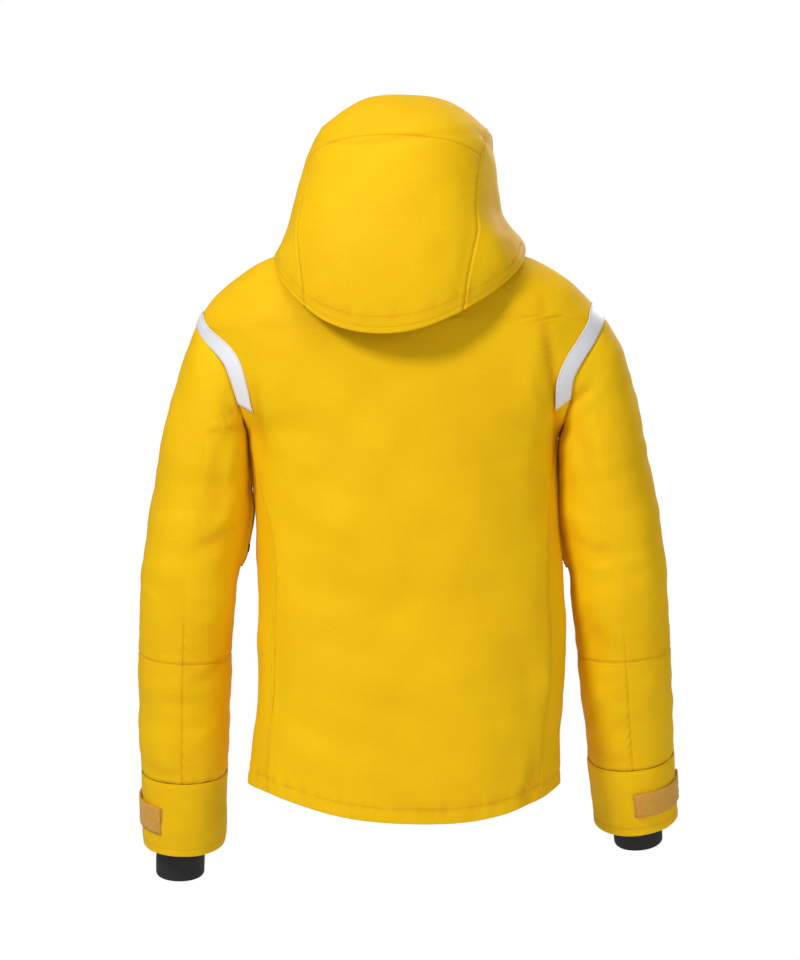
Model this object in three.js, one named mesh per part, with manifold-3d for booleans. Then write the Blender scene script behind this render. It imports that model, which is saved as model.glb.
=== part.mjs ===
// An insulated hooded ski jacket, men's size M to L, in the shape it has on a body.
// Millimetres. +Z is up, the jacket faces -Y and its wearer's left is +X.
// The origin is the middle of the neck, where the collar is sewn on at the back.
import * as THREE from 'three';
import { mergeVertices } from 'three/addons/utils/BufferGeometryUtils.js';
import Module from 'manifold-3d';

const wasm = await Module();
wasm.setup();

// ---- cloth ----
const CLOTH = 3; // shell fabric with its wadding
const GAP = 0.3; // between pieces that touch
const LINING_INSET = 13; // from the outer face to the lining's outer face
const LINING = 2;

// ---- body ----
const HEM_FRONT = -690;
const HEM_SIDE = -686;
const HEM_BACK = -728; // drop tail
const COLLAR_TOP = 62;
const FRONT_DEPTH_TOP = 104; // centre front, at the collar's top
const FRONT_DEPTH_HEM = 132; // centre front, at the hem
const FRONT_EDGE = 9; // from the centre line to a front panel's edge
const FACING_EDGE = 24; // from the centre line to the lining's edge
// Sections from the neck down: height, half width, depth behind the neck's middle,
// roundness of the outline (2 is an ellipse) and how far the cloth lies flat (1 is a roof).
const BODY_ROWS = [
  { z: 12, wide: 84, back: 72, round: 2, flat: 0.6 },
  { z: 2, wide: 120, back: 86, round: 2, flat: 0.9 },
  { z: -13, wide: 172, back: 98, round: 2, flat: 0.95 },
  { z: -38, wide: 212, back: 107, round: 2.1, flat: 0.85 },
  { z: -68, wide: 247, back: 115, round: 2.3, flat: 0.5 },
  { z: -104, wide: 266, back: 121, round: 2.4, flat: 0.15 },
  { z: -146, wide: 268, back: 125, round: 2.4, flat: 0 },
  { z: -200, wide: 236, back: 128, round: 2.4, flat: 0 },
  { z: -240, wide: 202, back: 129, round: 2.4, flat: 0 },
  { z: -345, wide: 191, back: 132, round: 2.4, flat: 0 },
  { z: -560, wide: 198, back: 131, round: 2.4, flat: 0 },
  { z: -640, wide: 199, back: 129, round: 2.4, flat: 0 },
];

// ---- sleeves ----
const ARMHOLE_TOP = [247, -68]; // x and z of the ends of the flat armhole
const ARMHOLE_LOW = [200, -240];
const ARMHOLE_SLOPE = (ARMHOLE_TOP[1] - ARMHOLE_LOW[1]) / (ARMHOLE_TOP[0] - ARMHOLE_LOW[0]);
const SHOULDER = new THREE.Vector3(203, 0, -140); // centre of the round sleeve head
const HEAD_RADIUS = 76;
const HEAD_DEPTH = 80;
const ELBOW = new THREE.Vector3(276, 0, -415);
const ELBOW_WIDTH = 55.5; // half sizes of the round elbow inside the upper sleeve
const ELBOW_RADIUS = 64.5;
const ELBOW_BEND = 48; // degrees of crease cut out in front of the elbow
// Upper sleeve sections: height, inner and outer side, half depth.
const UPPER_ROWS = [
  { z: -116, inner: 204, outer: 246, deep: 44 },
  { z: -152, inner: 200, outer: 280, deep: 73 },
  { z: -190, inner: 199.8, outer: 297, deep: 80 },
  { z: -240, inner: 203, outer: 309, deep: 80 },
  { z: -320, inner: 208, outer: 326, deep: 77 },
  { z: -420, inner: 214.3, outer: 337, deep: 70 },
];
const CUFF_START = 0.81; // along the forearm, from elbow to wrist
// The tab is sewn on at an angle round the wrist (0 is the outer side, 90 the back), and
// the gaiter shows below the cuff.
const ARMS = [
  { name: 'left', side: 1, bend: [283, 0, -500], wrist: [286, -93, -768], tab: 62, gaiter: 46 },
  { name: 'right', side: -1, bend: [277, 0, -500], wrist: [301, -97, -738], tab: 90, gaiter: 34 },
];
const BAND_WIDTH = 24; // reflective band
const BAND_LOW = -188;

// ---- hood ----
// Sections are arches in planes that all pass through one line in front of the neck:
// angle of the plane, height of the arch and its half width.
const HOOD_PIVOT = { y: -120, z: 20 };
const HOOD_ROWS = [
  { angle: -25, reach: 314, wide: 157 },
  { angle: 8, reach: 273, wide: 136 },
  { angle: 30, reach: 260, wide: 125 },
  { angle: 59, reach: 213, wide: 115 },
  { angle: 77.5, reach: 184, wide: 108 },
  { angle: 101, reach: 155, wide: 102 },
];
const HOOD_RIM_SIDE = -4.5; // plane angle of the rim at the sides, where it lies on the shoulders
const HOOD_RIM_FRONT = 0;
const HOOD_ROUND = 2.5;
const HOOD_WRAP = 125; // degrees from the arch's top to its ends
const HOOD_CROWN = 27; // plane angle of the seam across the crown
const HOOD_VISOR = 90;
const HOOD_SEAM = 114; // from the centre line to the side panels' seams
const HOOD_YAW = -8; // degrees, as it has settled
const HOOD_SHIFT = 5;

// ---- materials ----
function material(color, roughness, metalness = 0) {
  return new THREE.MeshStandardMaterial({ color, roughness, metalness });
}
const SHELL = material(0xe9ae1c, 0.75);
const INSIDE = material(0x3c3f44, 0.8);
const SILVER = material(0xc9ccd2, 0.35, 0.3);
const KNIT = material(0x17181b, 0.9);
const TAN = material(0xd79a3a, 0.9);
const ZIP = material(0xb98a26, 0.6);
const PLASTIC = material(0x222326, 0.5);

const jacket = new THREE.Group();
const hood = new THREE.Group();
hood.rotation.z = THREE.MathUtils.degToRad(HOOD_YAW);
hood.position.x = HOOD_SHIFT;
jacket.add(hood);

function place(group, name, geometry, look) {
  const mesh = new THREE.Mesh(geometry, look);
  mesh.name = name;
  group.add(mesh);
  return mesh;
}

// ---- geometry helpers ----
const radians = THREE.MathUtils.degToRad;
const vector = (x, y, z) => new THREE.Vector3(x, y, z);
const power = (value, round) => Math.sign(value) * Math.abs(value) ** (2 / round);

// Value of a key in rows sorted by another key, in straight lines between the rows.
function between(rows, key, at, wanted) {
  const rising = rows[1][key] > rows[0][key];
  let i = 0;
  while (i < rows.length - 2 && (rising ? at > rows[i + 1][key] : at < rows[i + 1][key])) i++;
  const t = THREE.MathUtils.clamp((at - rows[i][key]) / (rows[i + 1][key] - rows[i][key]), 0, 1);
  return THREE.MathUtils.lerp(rows[i][wanted], rows[i + 1][wanted], t);
}

function geometryFrom(positions, triangles) {
  const geometry = new THREE.BufferGeometry();
  geometry.setAttribute('position', new THREE.Float32BufferAttribute(positions, 3));
  geometry.setIndex(triangles);
  let volume = 0;
  const corner = (i) => vector(...positions.slice(3 * i, 3 * i + 3));
  for (let i = 0; i < triangles.length; i += 3) {
    const [a, b, c] = [corner(triangles[i]), corner(triangles[i + 1]), corner(triangles[i + 2])];
    volume += a.dot(b.cross(c));
  }
  if (volume < 0) geometry.setIndex(triangles.slice().reverse());
  return geometry;
}

// The closed solid between an outer and an inner surface, each a function of u (round)
// and v (up), from 0 to 1. A closed sheet joins up with itself in u.
function sheet(outer, inner, across, up, closed = false) {
  const columns = closed ? across : across + 1;
  const layer = columns * (up + 1);
  const positions = [];
  for (const surface of [outer, inner]) {
    for (let j = 0; j <= up; j++) {
      for (let i = 0; i < columns; i++) positions.push(...surface(i / across, j / up).toArray());
    }
  }
  const triangles = [];
  const at = (side, i, j) => side * layer + j * columns + (i % columns);
  const quad = (a, b, c, d) => triangles.push(a, b, c, a, c, d);
  for (let i = 0; i < across; i++) {
    for (let j = 0; j < up; j++) {
      quad(at(0, i, j), at(0, i + 1, j), at(0, i + 1, j + 1), at(0, i, j + 1));
      quad(at(1, i, j + 1), at(1, i + 1, j + 1), at(1, i + 1, j), at(1, i, j));
    }
    quad(at(1, i, 0), at(1, i + 1, 0), at(0, i + 1, 0), at(0, i, 0));
    quad(at(0, i, up), at(0, i + 1, up), at(1, i + 1, up), at(1, i, up));
  }
  for (let j = 0; j < up && !closed; j++) {
    quad(at(1, 0, j), at(0, 0, j), at(0, 0, j + 1), at(1, 0, j + 1));
    quad(at(0, across, j), at(1, across, j), at(1, across, j + 1), at(0, across, j + 1));
  }
  return geometryFrom(positions, triangles);
}

// A solid through closed rings of points, with flat ends.
function loft(rings) {
  const count = rings[0].length;
  const positions = rings.flat().flatMap((p) => p.toArray());
  const triangles = [];
  for (let j = 0; j < rings.length - 1; j++) {
    for (let i = 0; i < count; i++) {
      const [a, b] = [j * count + i, j * count + ((i + 1) % count)];
      triangles.push(a, b, b + count, a, b + count, a + count);
    }
  }
  for (const end of [0, rings.length - 1]) {
    const middle = rings[end].reduce((sum, p) => sum.add(p), vector(0, 0, 0));
    positions.push(...middle.divideScalar(count).toArray());
    const tip = positions.length / 3 - 1;
    for (let i = 0; i < count; i++) {
      const [a, b] = [end * count + i, end * count + ((i + 1) % count)];
      triangles.push(...(end ? [tip, a, b] : [tip, b, a]));
    }
  }
  return geometryFrom(positions, triangles);
}

function prism(points, low, high, basis) {
  const shape = new THREE.Shape(points.map(([a, b]) => new THREE.Vector2(a, b)));
  const geometry = new THREE.ExtrudeGeometry(shape, { depth: high - low, bevelEnabled: false });
  return geometry.translate(0, 0, low).applyMatrix4(basis);
}
// Outlines in y and z, pulled along X; and outlines in x and z, pulled along Y.
const ALONG_X = new THREE.Matrix4().makeBasis(vector(0, 1, 0), vector(0, 0, 1), vector(1, 0, 0));
const ALONG_Y = new THREE.Matrix4().makeBasis(vector(1, 0, 0), vector(0, 0, 1), vector(0, -1, 0));

function ellipsoid(centre, x, y, z) {
  return new THREE.SphereGeometry(1, 20, 10).scale(x, y, z).translate(...centre.toArray());
}

function solid(geometry) {
  const bare = geometry.clone();
  bare.deleteAttribute('normal');
  bare.deleteAttribute('uv');
  const merged = mergeVertices(bare, 1e-3);
  const triVerts = new Uint32Array(merged.index.array);
  const vertProperties = new Float32Array(merged.attributes.position.array);
  return new wasm.Manifold(new wasm.Mesh({ numProp: 3, vertProperties, triVerts }));
}

function shapeOf(manifold) {
  const mesh = manifold.getMesh();
  const geometry = new THREE.BufferGeometry();
  geometry.setAttribute('position', new THREE.BufferAttribute(mesh.vertProperties, 3));
  geometry.setIndex(new THREE.BufferAttribute(mesh.triVerts, 1));
  return geometry;
}

// The same shape on the other side of the centre plane.
function mirrored(geometry, side) {
  if (side > 0) return geometry;
  const turned = (geometry.index ? geometry : mergeVertices(geometry)).clone();
  turned.scale(-1, 1, 1);
  turned.setIndex(Array.from(turned.index.array).reverse());
  return turned;
}

const cut = (geometry, ...tools) =>
  shapeOf(tools.reduce((left, tool) => left.subtract(solid(tool)), solid(geometry)));

// ---- body surface ----
const bodyRow = (z, key) => between(BODY_ROWS, 'z', z, key);
const frontDepth = (z) =>
  THREE.MathUtils.mapLinear(z, COLLAR_TOP, HEM_FRONT, FRONT_DEPTH_TOP, FRONT_DEPTH_HEM);

// A point of the body at an angle (0 is the wearer's left, 90 the back), below the outer face.
function bodyPoint(angle, z, inset) {
  const [c, s] = [Math.cos(radians(angle)), Math.sin(radians(angle))];
  const flat = bodyRow(z, 'flat') * Math.abs(c);
  const round = bodyRow(z, 'round');
  const depth = (s > 0 ? bodyRow(z, 'back') : frontDepth(z)) - inset * (1 - flat);
  const wide = bodyRow(z, 'wide') - inset * (1 - flat);
  return vector(wide * power(c, round), depth * power(s, round), z - inset * flat);
}

// Angle, right of the centre front, at a distance x from the centre line.
const angleAt = (x, z) =>
  THREE.MathUtils.radToDeg(Math.acos((x / bodyRow(z, 'wide')) ** (bodyRow(z, 'round') / 2)));

function hemHeight(angle) {
  const s = Math.sin(radians(angle));
  const drop = s > 0 ? HEM_BACK - HEM_SIDE : HEM_FRONT - HEM_SIDE;
  return HEM_SIDE + drop * Math.abs(s) ** 2.1;
}

// A panel of the body between two edge angles, each a function of the height, from the
// hem (raised by lift) up to the neck or to a lower top.
function bodyPanel(from, to, inset, thick, across, lift = 0, top = BODY_ROWS[0].z) {
  const heights = BODY_ROWS.map((row) => row.z).filter((z) => z < top);
  heights.unshift(top);
  heights.reverse();
  const surface = (depth) => (u, v) => {
    const row = Math.round(v * heights.length);
    const height = row ? heights[row - 1] : HEM_SIDE;
    const angle = THREE.MathUtils.lerp(from(height), to(height), u);
    const z = row ? height : hemHeight(angle) + lift;
    return bodyPoint(angle, z, depth);
  };
  return sheet(surface(inset), surface(inset + thick), across, heights.length);
}

// The armhole is cut flat, and the round sleeve head has room behind it.
const armhole = prism(
  [[ARMHOLE_TOP[0] + 2.2, ARMHOLE_TOP[1] + 8], ARMHOLE_LOW, [420, ARMHOLE_LOW[1]], [420, -60]],
  -220,
  220,
  ALONG_Y,
);
const headRoom = ellipsoid(SHOULDER, HEAD_RADIUS + 2, HEAD_DEPTH + 2, HEAD_RADIUS + 2);
const armholes = [armhole, headRoom, mirrored(armhole, -1), mirrored(headRoom, -1)];

// Side panels run from the underarm to the hem, between angles behind and in front.
const SIDE_TOP = -246;
const SIDE_BACK_ANGLE = 32;
const SIDE_FRONT_ANGLE = -14;
const SEAM_ANGLE = 0.12;
const BACK_COLUMNS = 16;
const backSheet = (inset, thick) =>
  bodyPanel(() => SEAM_ANGLE, () => 180 - SEAM_ANGLE, inset, thick, BACK_COLUMNS);

function addBody() {
  const sidePanel = (inset, thick, spare, top) => {
    const [low, high] = [SIDE_FRONT_ANGLE - spare, SIDE_BACK_ANGLE + spare];
    return bodyPanel(() => low, () => high, inset, thick, 5, -40 * spare, top);
  };
  const room = sidePanel(-4, CLOTH + 8, SEAM_ANGLE, SIDE_TOP + GAP);
  const back = cut(backSheet(0, CLOTH), ...armholes, room, mirrored(room, -1));
  place(jacket, 'back_panel', back, SHELL);
  for (const { name, side } of ARMS) {
    const front = bodyPanel((z) => -angleAt(FRONT_EDGE, z), () => -SEAM_ANGLE, 0, CLOTH, 8);
    const trimmed = cut(front, armhole, headRoom, room);
    place(jacket, `front_panel_${name}`, mirrored(trimmed, side), SHELL);
    const panel = sidePanel(0, CLOTH, 0, SIDE_TOP);
    place(jacket, `side_panel_${name}`, mirrored(panel, side), SHELL);
  }
  const facing = (z) => angleAt(FACING_EDGE, z);
  const lining = bodyPanel((z) => -facing(z), (z) => 180 + facing(z), LINING_INSET, LINING, 18, 22);
  place(jacket, 'body_lining', cut(lining, ...armholes), INSIDE);

  const skirt = (inset) => (u, v) => {
    const z = THREE.MathUtils.lerp(-655, -575, v);
    const angle = THREE.MathUtils.lerp(-facing(z), 180 + facing(z), u);
    return bodyPoint(angle, z, inset);
  };
  place(jacket, 'powder_skirt', sheet(skirt(17.5), skirt(19), 26, 1), INSIDE);
}

// ---- collar ----
const COLLAR_LOW = 12.6;
function collarPoint(angle, z, inset) {
  const rise = (z - COLLAR_LOW) / (COLLAR_TOP - COLLAR_LOW);
  const [c, s] = [Math.cos(radians(angle)), Math.sin(radians(angle))];
  const depth = s > 0 ? 72 - 5 * rise : frontDepth(z);
  return vector((83 - 6 * rise - inset) * c, (depth - inset) * s, z);
}

function addCollar() {
  const wrap = (edge, low, high, inset) => (u, v) => {
    const start = -THREE.MathUtils.radToDeg(Math.acos(edge / 80));
    const angle = THREE.MathUtils.lerp(start, 180 - start, u);
    return collarPoint(angle, THREE.MathUtils.lerp(low, high, v), inset);
  };
  const ring = (edge, low, high, inset, thick) =>
    sheet(wrap(edge, low, high, inset), wrap(edge, low, high, inset + thick), 24, 2);
  const shell = ring(FRONT_EDGE, COLLAR_LOW, COLLAR_TOP, 0, CLOTH);
  place(jacket, 'collar', shell, SHELL);
  const lining = ring(FACING_EDGE, COLLAR_LOW, COLLAR_TOP - 3, 5.5, LINING);
  place(jacket, 'collar_lining', lining, INSIDE);

  const label = new THREE.BoxGeometry(36, 1, 20).translate(0, 57, 29);
  place(jacket, 'neck_label', label, INSIDE);
  const loop = new THREE.Shape();
  loop.moveTo(-24, 0).lineTo(24, 0).lineTo(24, 13).lineTo(-24, 13).closePath();
  const eye = new THREE.Path();
  eye.moveTo(-21, 3).lineTo(-21, 10.5).lineTo(21, 10.5).lineTo(21, 3).closePath();
  loop.holes.push(eye);
  const strap = new THREE.ExtrudeGeometry(loop, { depth: 5, bevelEnabled: false });
  const hanger = place(jacket, 'hanger_loop', strap, INSIDE);
  hanger.rotation.x = Math.PI / 2;
  hanger.position.set(0, 54, 45);

  const base = (inset) => (u, v) =>
    collarPoint(THREE.MathUtils.lerp(-25, 205, u), THREE.MathUtils.lerp(17, 40, v), inset);
  place(jacket, 'hood_base_band', sheet(base(-3), base(-1), 20, 1), SHELL);
}

// ---- zips ----
// Frame of a straight zip: +Z runs up along it and +Y points into the jacket.
function zipFrame(low, high, inward) {
  const up = high.clone().sub(low).normalize();
  const across = inward.clone().cross(up).normalize();
  const group = new THREE.Group();
  const depth = up.clone().cross(across);
  group.quaternion.setFromRotationMatrix(new THREE.Matrix4().makeBasis(across, depth, up));
  group.position.copy(low);
  jacket.add(group);
  return group;
}

function box(low, high) {
  const size = high.map((value, i) => value - low[i]);
  const middle = high.map((value, i) => (value + low[i]) / 2);
  return new THREE.BoxGeometry(...size).translate(...middle);
}

// A pull hangs from its slider: a plate with a hole, in front of the zip.
function addPull(zip, name, height, front, length) {
  const plate = new THREE.Shape();
  plate.moveTo(-3, 0).lineTo(3, 0).lineTo(4, -length + 3).lineTo(2.5, -length);
  plate.lineTo(-2.5, -length).lineTo(-4, -length + 3).closePath();
  const slot = new THREE.Path();
  slot.moveTo(-1.5, -length + 5).lineTo(1.5, -length + 5).lineTo(1.5, -length + 11);
  slot.lineTo(-1.5, -length + 11).closePath();
  plate.holes.push(slot);
  const options = { depth: 1.4, bevelEnabled: false };
  const mesh = place(zip, name, new THREE.ExtrudeGeometry(plate, options), PLASTIC);
  mesh.rotation.x = Math.PI / 2;
  mesh.position.set(0, front, height);
}

const TEETH_FRONT = 2.6;
const TEETH_BACK = 6.4;
function addMainZip() {
  const low = vector(0, -frontDepth(HEM_FRONT), HEM_FRONT);
  const high = vector(0, -frontDepth(COLLAR_TOP), COLLAR_TOP);
  const zip = zipFrame(low, high, vector(0, 1, 0));
  const length = low.distanceTo(high);
  for (const { name, side } of ARMS) {
    const profile = new THREE.Shape();
    profile.moveTo(0.8, TEETH_FRONT).lineTo(3.2, TEETH_FRONT).lineTo(3.2, 5).lineTo(12, 5);
    profile.lineTo(12, 5.8).lineTo(3.2, 5.8).lineTo(3.2, TEETH_BACK).lineTo(0.8, TEETH_BACK);
    const tape = new THREE.ExtrudeGeometry(profile, { depth: length - 22, bevelEnabled: false });
    place(zip, `main_zip_${name}`, mirrored(tape.translate(0, 0, 18), side), ZIP);
  }
  place(zip, 'main_zip_bottom_box', box([-5, 2, 6], [5, 6.5, 17.5]), PLASTIC);
  const faces = solid(box([-5.5, 0.6, 0], [5.5, 2.1, 16]));
  const rear = solid(box([-5.5, 6.9, 0], [5.5, 8.4, 16]));
  const post = solid(box([-0.45, 1.5, 9], [0.45, 7.4, 16]));
  const eye = solid(box([-1.5, -0.2, 8], [1.5, 1, 13]));
  const slider = shapeOf(faces.add(rear).add(post).add(eye));
  place(zip, 'main_zip_slider', slider, PLASTIC).position.z = length - 32;
  addPull(zip, 'main_zip_pull', length - 25, -0.5, 34);
  const flap = box([-19, 10, 8], [19, 12, length - 4]);
  place(zip, 'storm_flap', flap, INSIDE);
}

// A pocket zip lies on the cloth, with a slider and a pull at its top.
function addPocketZip(name, low, high, inward) {
  const zip = zipFrame(low, high, inward);
  const length = low.distanceTo(high);
  place(zip, name, box([-6, -1.9, 0], [6, -0.5, length]), ZIP);
  const plate = solid(box([-4, -3.9, 0], [4, -2.3, 12]));
  const eye = solid(box([-1.5, -5, 6], [1.5, -3.5, 10]));
  place(zip, `${name}_slider`, shapeOf(plate.add(eye)), PLASTIC).position.z = length - 14;
  addPull(zip, `${name}_pull`, length - 9, -5.3, 26);
}

const HAND_ZIP_ANGLE = -55;
const HAND_ZIP = [-540, -372]; // heights of its ends
const CHEST_ZIP = [-245, -125];
const CHEST_ZIP_X = 72;
function addPockets() {
  for (const { name, side } of ARMS) {
    const mirror = (p) => vector(side * p.x, p.y, p.z);
    const [low, high] = HAND_ZIP.map((z) => mirror(bodyPoint(HAND_ZIP_ANGLE, z, 0)));
    const inner = mirror(bodyPoint(HAND_ZIP_ANGLE - 4, HAND_ZIP[0], 0));
    const outer = mirror(bodyPoint(HAND_ZIP_ANGLE + 4, HAND_ZIP[0], 0));
    const inward = outer.sub(inner).cross(vector(0, 0, -side));
    addPocketZip(`hand_zip_${name}`, low, high, inward);
    const bag = (inset) => (u, v) => {
      const angle = THREE.MathUtils.lerp(HAND_ZIP_ANGLE - 22, HAND_ZIP_ANGLE + 8, u);
      return bodyPoint(angle, THREE.MathUtils.lerp(-552, -372, v), inset);
    };
    place(jacket, `pocket_bag_${name}`, mirrored(sheet(bag(6), bag(9), 5, 3), side), INSIDE);
  }
  const [low, high] = CHEST_ZIP.map((z) => {
    const point = bodyPoint(-angleAt(CHEST_ZIP_X, z), z, 0);
    return point.setY(point.y - 0.8);
  });
  addPocketZip('chest_zip', low, high, vector(-0.12, 1, 0));
}

// ---- hem cord, held all the way inside the hem ----
const CORD_RADIUS = 1.5;
function addHemCord() {
  const route = [];
  for (let angle = -70; angle <= 250; angle += 8) {
    route.push(bodyPoint(angle, hemHeight(angle) + 12, 8));
  }
  const corners = Array.from({ length: 6 }, (_, i) => (i * Math.PI) / 3);
  const outline = new THREE.Shape(
    corners.map((a) => new THREE.Vector2(CORD_RADIUS * Math.cos(a), CORD_RADIUS * Math.sin(a))),
  );
  const extrudePath = new THREE.CatmullRomCurve3(route);
  const options = { steps: 36, bevelEnabled: false, extrudePath };
  place(jacket, 'hem_cord', new THREE.ExtrudeGeometry(outline, options), PLASTIC);
  for (const { name, side } of ARMS) {
    const lock = new THREE.CylinderGeometry(4.5, 4.5, 16, 14).rotateZ(Math.PI / 2);
    const end = bodyPoint(-70, hemHeight(-70) + 12, 9.4);
    lock.rotateZ(radians(-6)).translate(end.x - 10, end.y - 1.2, end.z);
    place(jacket, `hem_cord_lock_${name}`, mirrored(lock, side), PLASTIC);
  }
}

// ---- sleeves ----
const RING = 20;
function upperRing(row, inset) {
  const middle = (row.inner + row.outer) / 2;
  const wide = (row.outer - row.inner) / 2 - inset;
  return Array.from({ length: RING }, (_, i) => {
    const angle = (2 * Math.PI * i) / RING;
    return vector(middle + wide * Math.cos(angle), (row.deep - inset) * Math.sin(angle), row.z);
  });
}

function upperSleeve() {
  const head = (inset) => {
    const radius = HEAD_RADIUS - inset;
    return solid(ellipsoid(SHOULDER, radius, HEAD_DEPTH - inset, radius));
  };
  // the sleeve's tube stops at the armhole, and its end there is closed round the head
  const tube = (inset, away) => {
    const [top, low] = [ARMHOLE_TOP, ARMHOLE_LOW].map(([x, z]) => [x + away, z]);
    const slope = (top[0] - low[0]) / (top[1] - low[1]);
    const beyond = prism(
      [[top[0] + 80 * slope, top[1] + 80], [0, top[1] + 80], [0, -600], [low[0] - 360 * slope, -600]],
      -220,
      220,
      ALONG_Y,
    );
    const under = ARMHOLE_LOW[1] - away;
    const below = prism([[0, under], [0, -600], [420, -600], [420, under]], -220, 220, ALONG_Y);
    const whole = solid(loft(UPPER_ROWS.map((row) => upperRing(row, inset))));
    return whole.subtract(solid(beyond).subtract(solid(below)));
  };
  const top = SHOULDER.clone().add(vector(8.2, 0, 75.6));
  const low = SHOULDER.clone().add(vector(-65.8, 0, -38));
  const along = top.clone().sub(low).normalize().multiplyScalar(60);
  const away = vector(-along.z, 0, along.x).multiplyScalar(3.4);
  const corners = [top.add(along), low.sub(along)];
  corners.push(corners[1].clone().add(away), corners[0].clone().add(away));
  const passage = prism(corners.map((p) => [p.x, p.z]), -120, 120, ALONG_Y);
  const end = ELBOW.z + 0.5;
  const floor = prism([[100, end], [100, end - 60], [420, end - 60], [420, end]], -120, 120, ALONG_Y);
  const outer = head(0).add(tube(0, 2.5));
  const inner = head(CLOTH).add(tube(CLOTH, 2.5 + CLOTH));
  return shapeOf(outer.subtract(inner).subtract(solid(passage)).subtract(solid(floor)));
}

// A point of a forearm at t along it (0 elbow, 1 wrist), at an angle round it
// (0 is the outer side, 90 the back), below the outer face.
function forearmPoint(arm, t, angle, inset) {
  const path = new THREE.QuadraticBezierCurve3(ELBOW, vector(...arm.bend), vector(...arm.wrist));
  const extra = Math.max(0, t - 1);
  const along = path.getTangent(Math.min(t, 1));
  const centre = path.getPoint(Math.min(t, 1)).addScaledVector(along, extra * 370);
  const across = vector(1, 0, 0).addScaledVector(along, -along.x).normalize();
  const back = across.clone().cross(along);
  const wide = 60.5 - 6 * t - inset;
  const deep = 69 - 13 * t - inset;
  const [c, s] = [Math.cos(radians(angle)), Math.sin(radians(angle))];
  return centre.addScaledVector(across, wide * c).addScaledVector(back, deep * s);
}

function lowerSleeve(arm) {
  const rings = (inset, end) => {
    const start = Array.from({ length: RING }, (_, i) =>
      forearmPoint(arm, 0, (360 * i) / RING, inset).add(vector(0, 0, 8)),
    );
    const rest = [0.12, 0.35, 0.6, end].map((t) =>
      Array.from({ length: RING }, (_, i) => forearmPoint(arm, t, (360 * i) / RING, inset)),
    );
    return solid(loft([start, ...rest]));
  };
  const bulb = (inset) => {
    const radius = ELBOW_RADIUS - inset;
    return solid(ellipsoid(ELBOW, ELBOW_WIDTH - inset, radius, radius));
  };
  // all that lies above the elbow, with the crease in front of it
  const above = (drop) => {
    const fall = 150 * Math.tan(radians(ELBOW_BEND));
    const outline = [[150, 100], [-150, 100], [-150, -drop - fall], [0, -drop], [150, -drop]];
    const placed = outline.map(([y, z]) => [ELBOW.y + y, ELBOW.z + z]);
    return solid(prism(placed, ELBOW.x - 100, ELBOW.x + 100, ALONG_X));
  };
  const slant = [[-100, -4], [100, 79], [100, 200], [-100, 200]];
  const placed = slant.map(([y, z]) => [ELBOW.y + y, ELBOW.z + z]);
  const passage = solid(prism(placed, ELBOW.x - 100, ELBOW.x + 100, ALONG_X));
  const outer = rings(0, CUFF_START).subtract(above(0.5)).add(bulb(0));
  const inner = rings(CLOTH, CUFF_START + 0.05).subtract(above(5)).add(bulb(CLOTH));
  return shapeOf(outer.subtract(inner).subtract(passage));
}

const TAB = { reach: 104, low: 0.88, high: 0.945 };
function addSleeve(arm) {
  const { name, side } = arm;
  place(jacket, `upper_sleeve_${name}`, mirrored(upperSleeve(), side), SHELL);
  place(jacket, `lower_sleeve_${name}`, mirrored(lowerSleeve(arm), side), SHELL);
  // from and to are angles round the forearm, low and high distances along it
  const wrap = (from, to, low, high, inset, thick, across, up) => {
    const surface = (depth) => (u, v) => {
      const angle = THREE.MathUtils.lerp(from, to, u);
      return forearmPoint(arm, THREE.MathUtils.lerp(high, low, v), angle, depth);
    };
    const geometry = sheet(surface(inset), surface(inset + thick), across, up, to - from === 360);
    return mirrored(geometry, side);
  };
  const cuff = wrap(0, 360, CUFF_START + 0.002, 1, -0.8, CLOTH + 0.6, RING, 2);
  place(jacket, `cuff_${name}`, cuff, SHELL);
  const free = arm.tab - TAB.reach;
  const patch = wrap(arm.tab + 6, free - 20, TAB.low, TAB.high, -2, 0.9, 12, 1);
  place(jacket, `loop_patch_${name}`, patch, TAN);
  const strap = wrap(arm.tab, free, TAB.low, TAB.high, -4, 1.6, 10, 1);
  place(jacket, `cuff_tab_${name}`, strap, TAN);

  const gaiter = (inset) => (u, v) => {
    const t = THREE.MathUtils.lerp(1 + arm.gaiter / 370, 0.86, v);
    const narrow = THREE.MathUtils.smoothstep(t, 0.86, 1.03) * 15;
    return forearmPoint(arm, t, 360 * u, 7 + narrow + inset);
  };
  const knit = sheet(gaiter(0), gaiter(2.5), RING, 4, true);
  place(jacket, `wrist_gaiter_${name}`, mirrored(knit, side), KNIT);

  // the reflective band lies on the body's cloth, along the back of the armhole
  const [top, low] = [ARMHOLE_TOP, ARMHOLE_LOW];
  const end = low[0] + (BAND_LOW - low[1]) / ARMHOLE_SLOPE;
  const outline = [[top[0], top[1] + 4], [end, BAND_LOW]];
  outline.push([end - BAND_WIDTH, BAND_LOW], [top[0] - BAND_WIDTH, top[1] + 14]);
  const region = solid(prism(outline, -220, 0, ALONG_Y));
  const strip = solid(backSheet(-1.5, 1.5 - GAP)).intersect(region).subtract(solid(armhole));
  place(jacket, `shoulder_band_${name}`, mirrored(shapeOf(strip), side), SILVER);

  // the underarm vent's zip, on the side of the sleeve that faces the body
  const ends = [UPPER_ROWS[5], UPPER_ROWS[3]].map((row) => vector(side * row.inner, 0, row.z));
  const [start, finish] = [0.14, 0.9].map((t) => ends[0].clone().lerp(ends[1], t));
  const zip = zipFrame(start, finish, vector(side, 0, 0));
  const length = start.distanceTo(finish);
  place(zip, `vent_zip_${name}`, box([-6, -1.8, 0], [6, -0.5, length]), ZIP);
  const slider = place(zip, `vent_zip_slider_${name}`, box([-3.5, -3.6, 0], [3.5, -2.1, 11]), PLASTIC);
  slider.position.z = 3;
}

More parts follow.
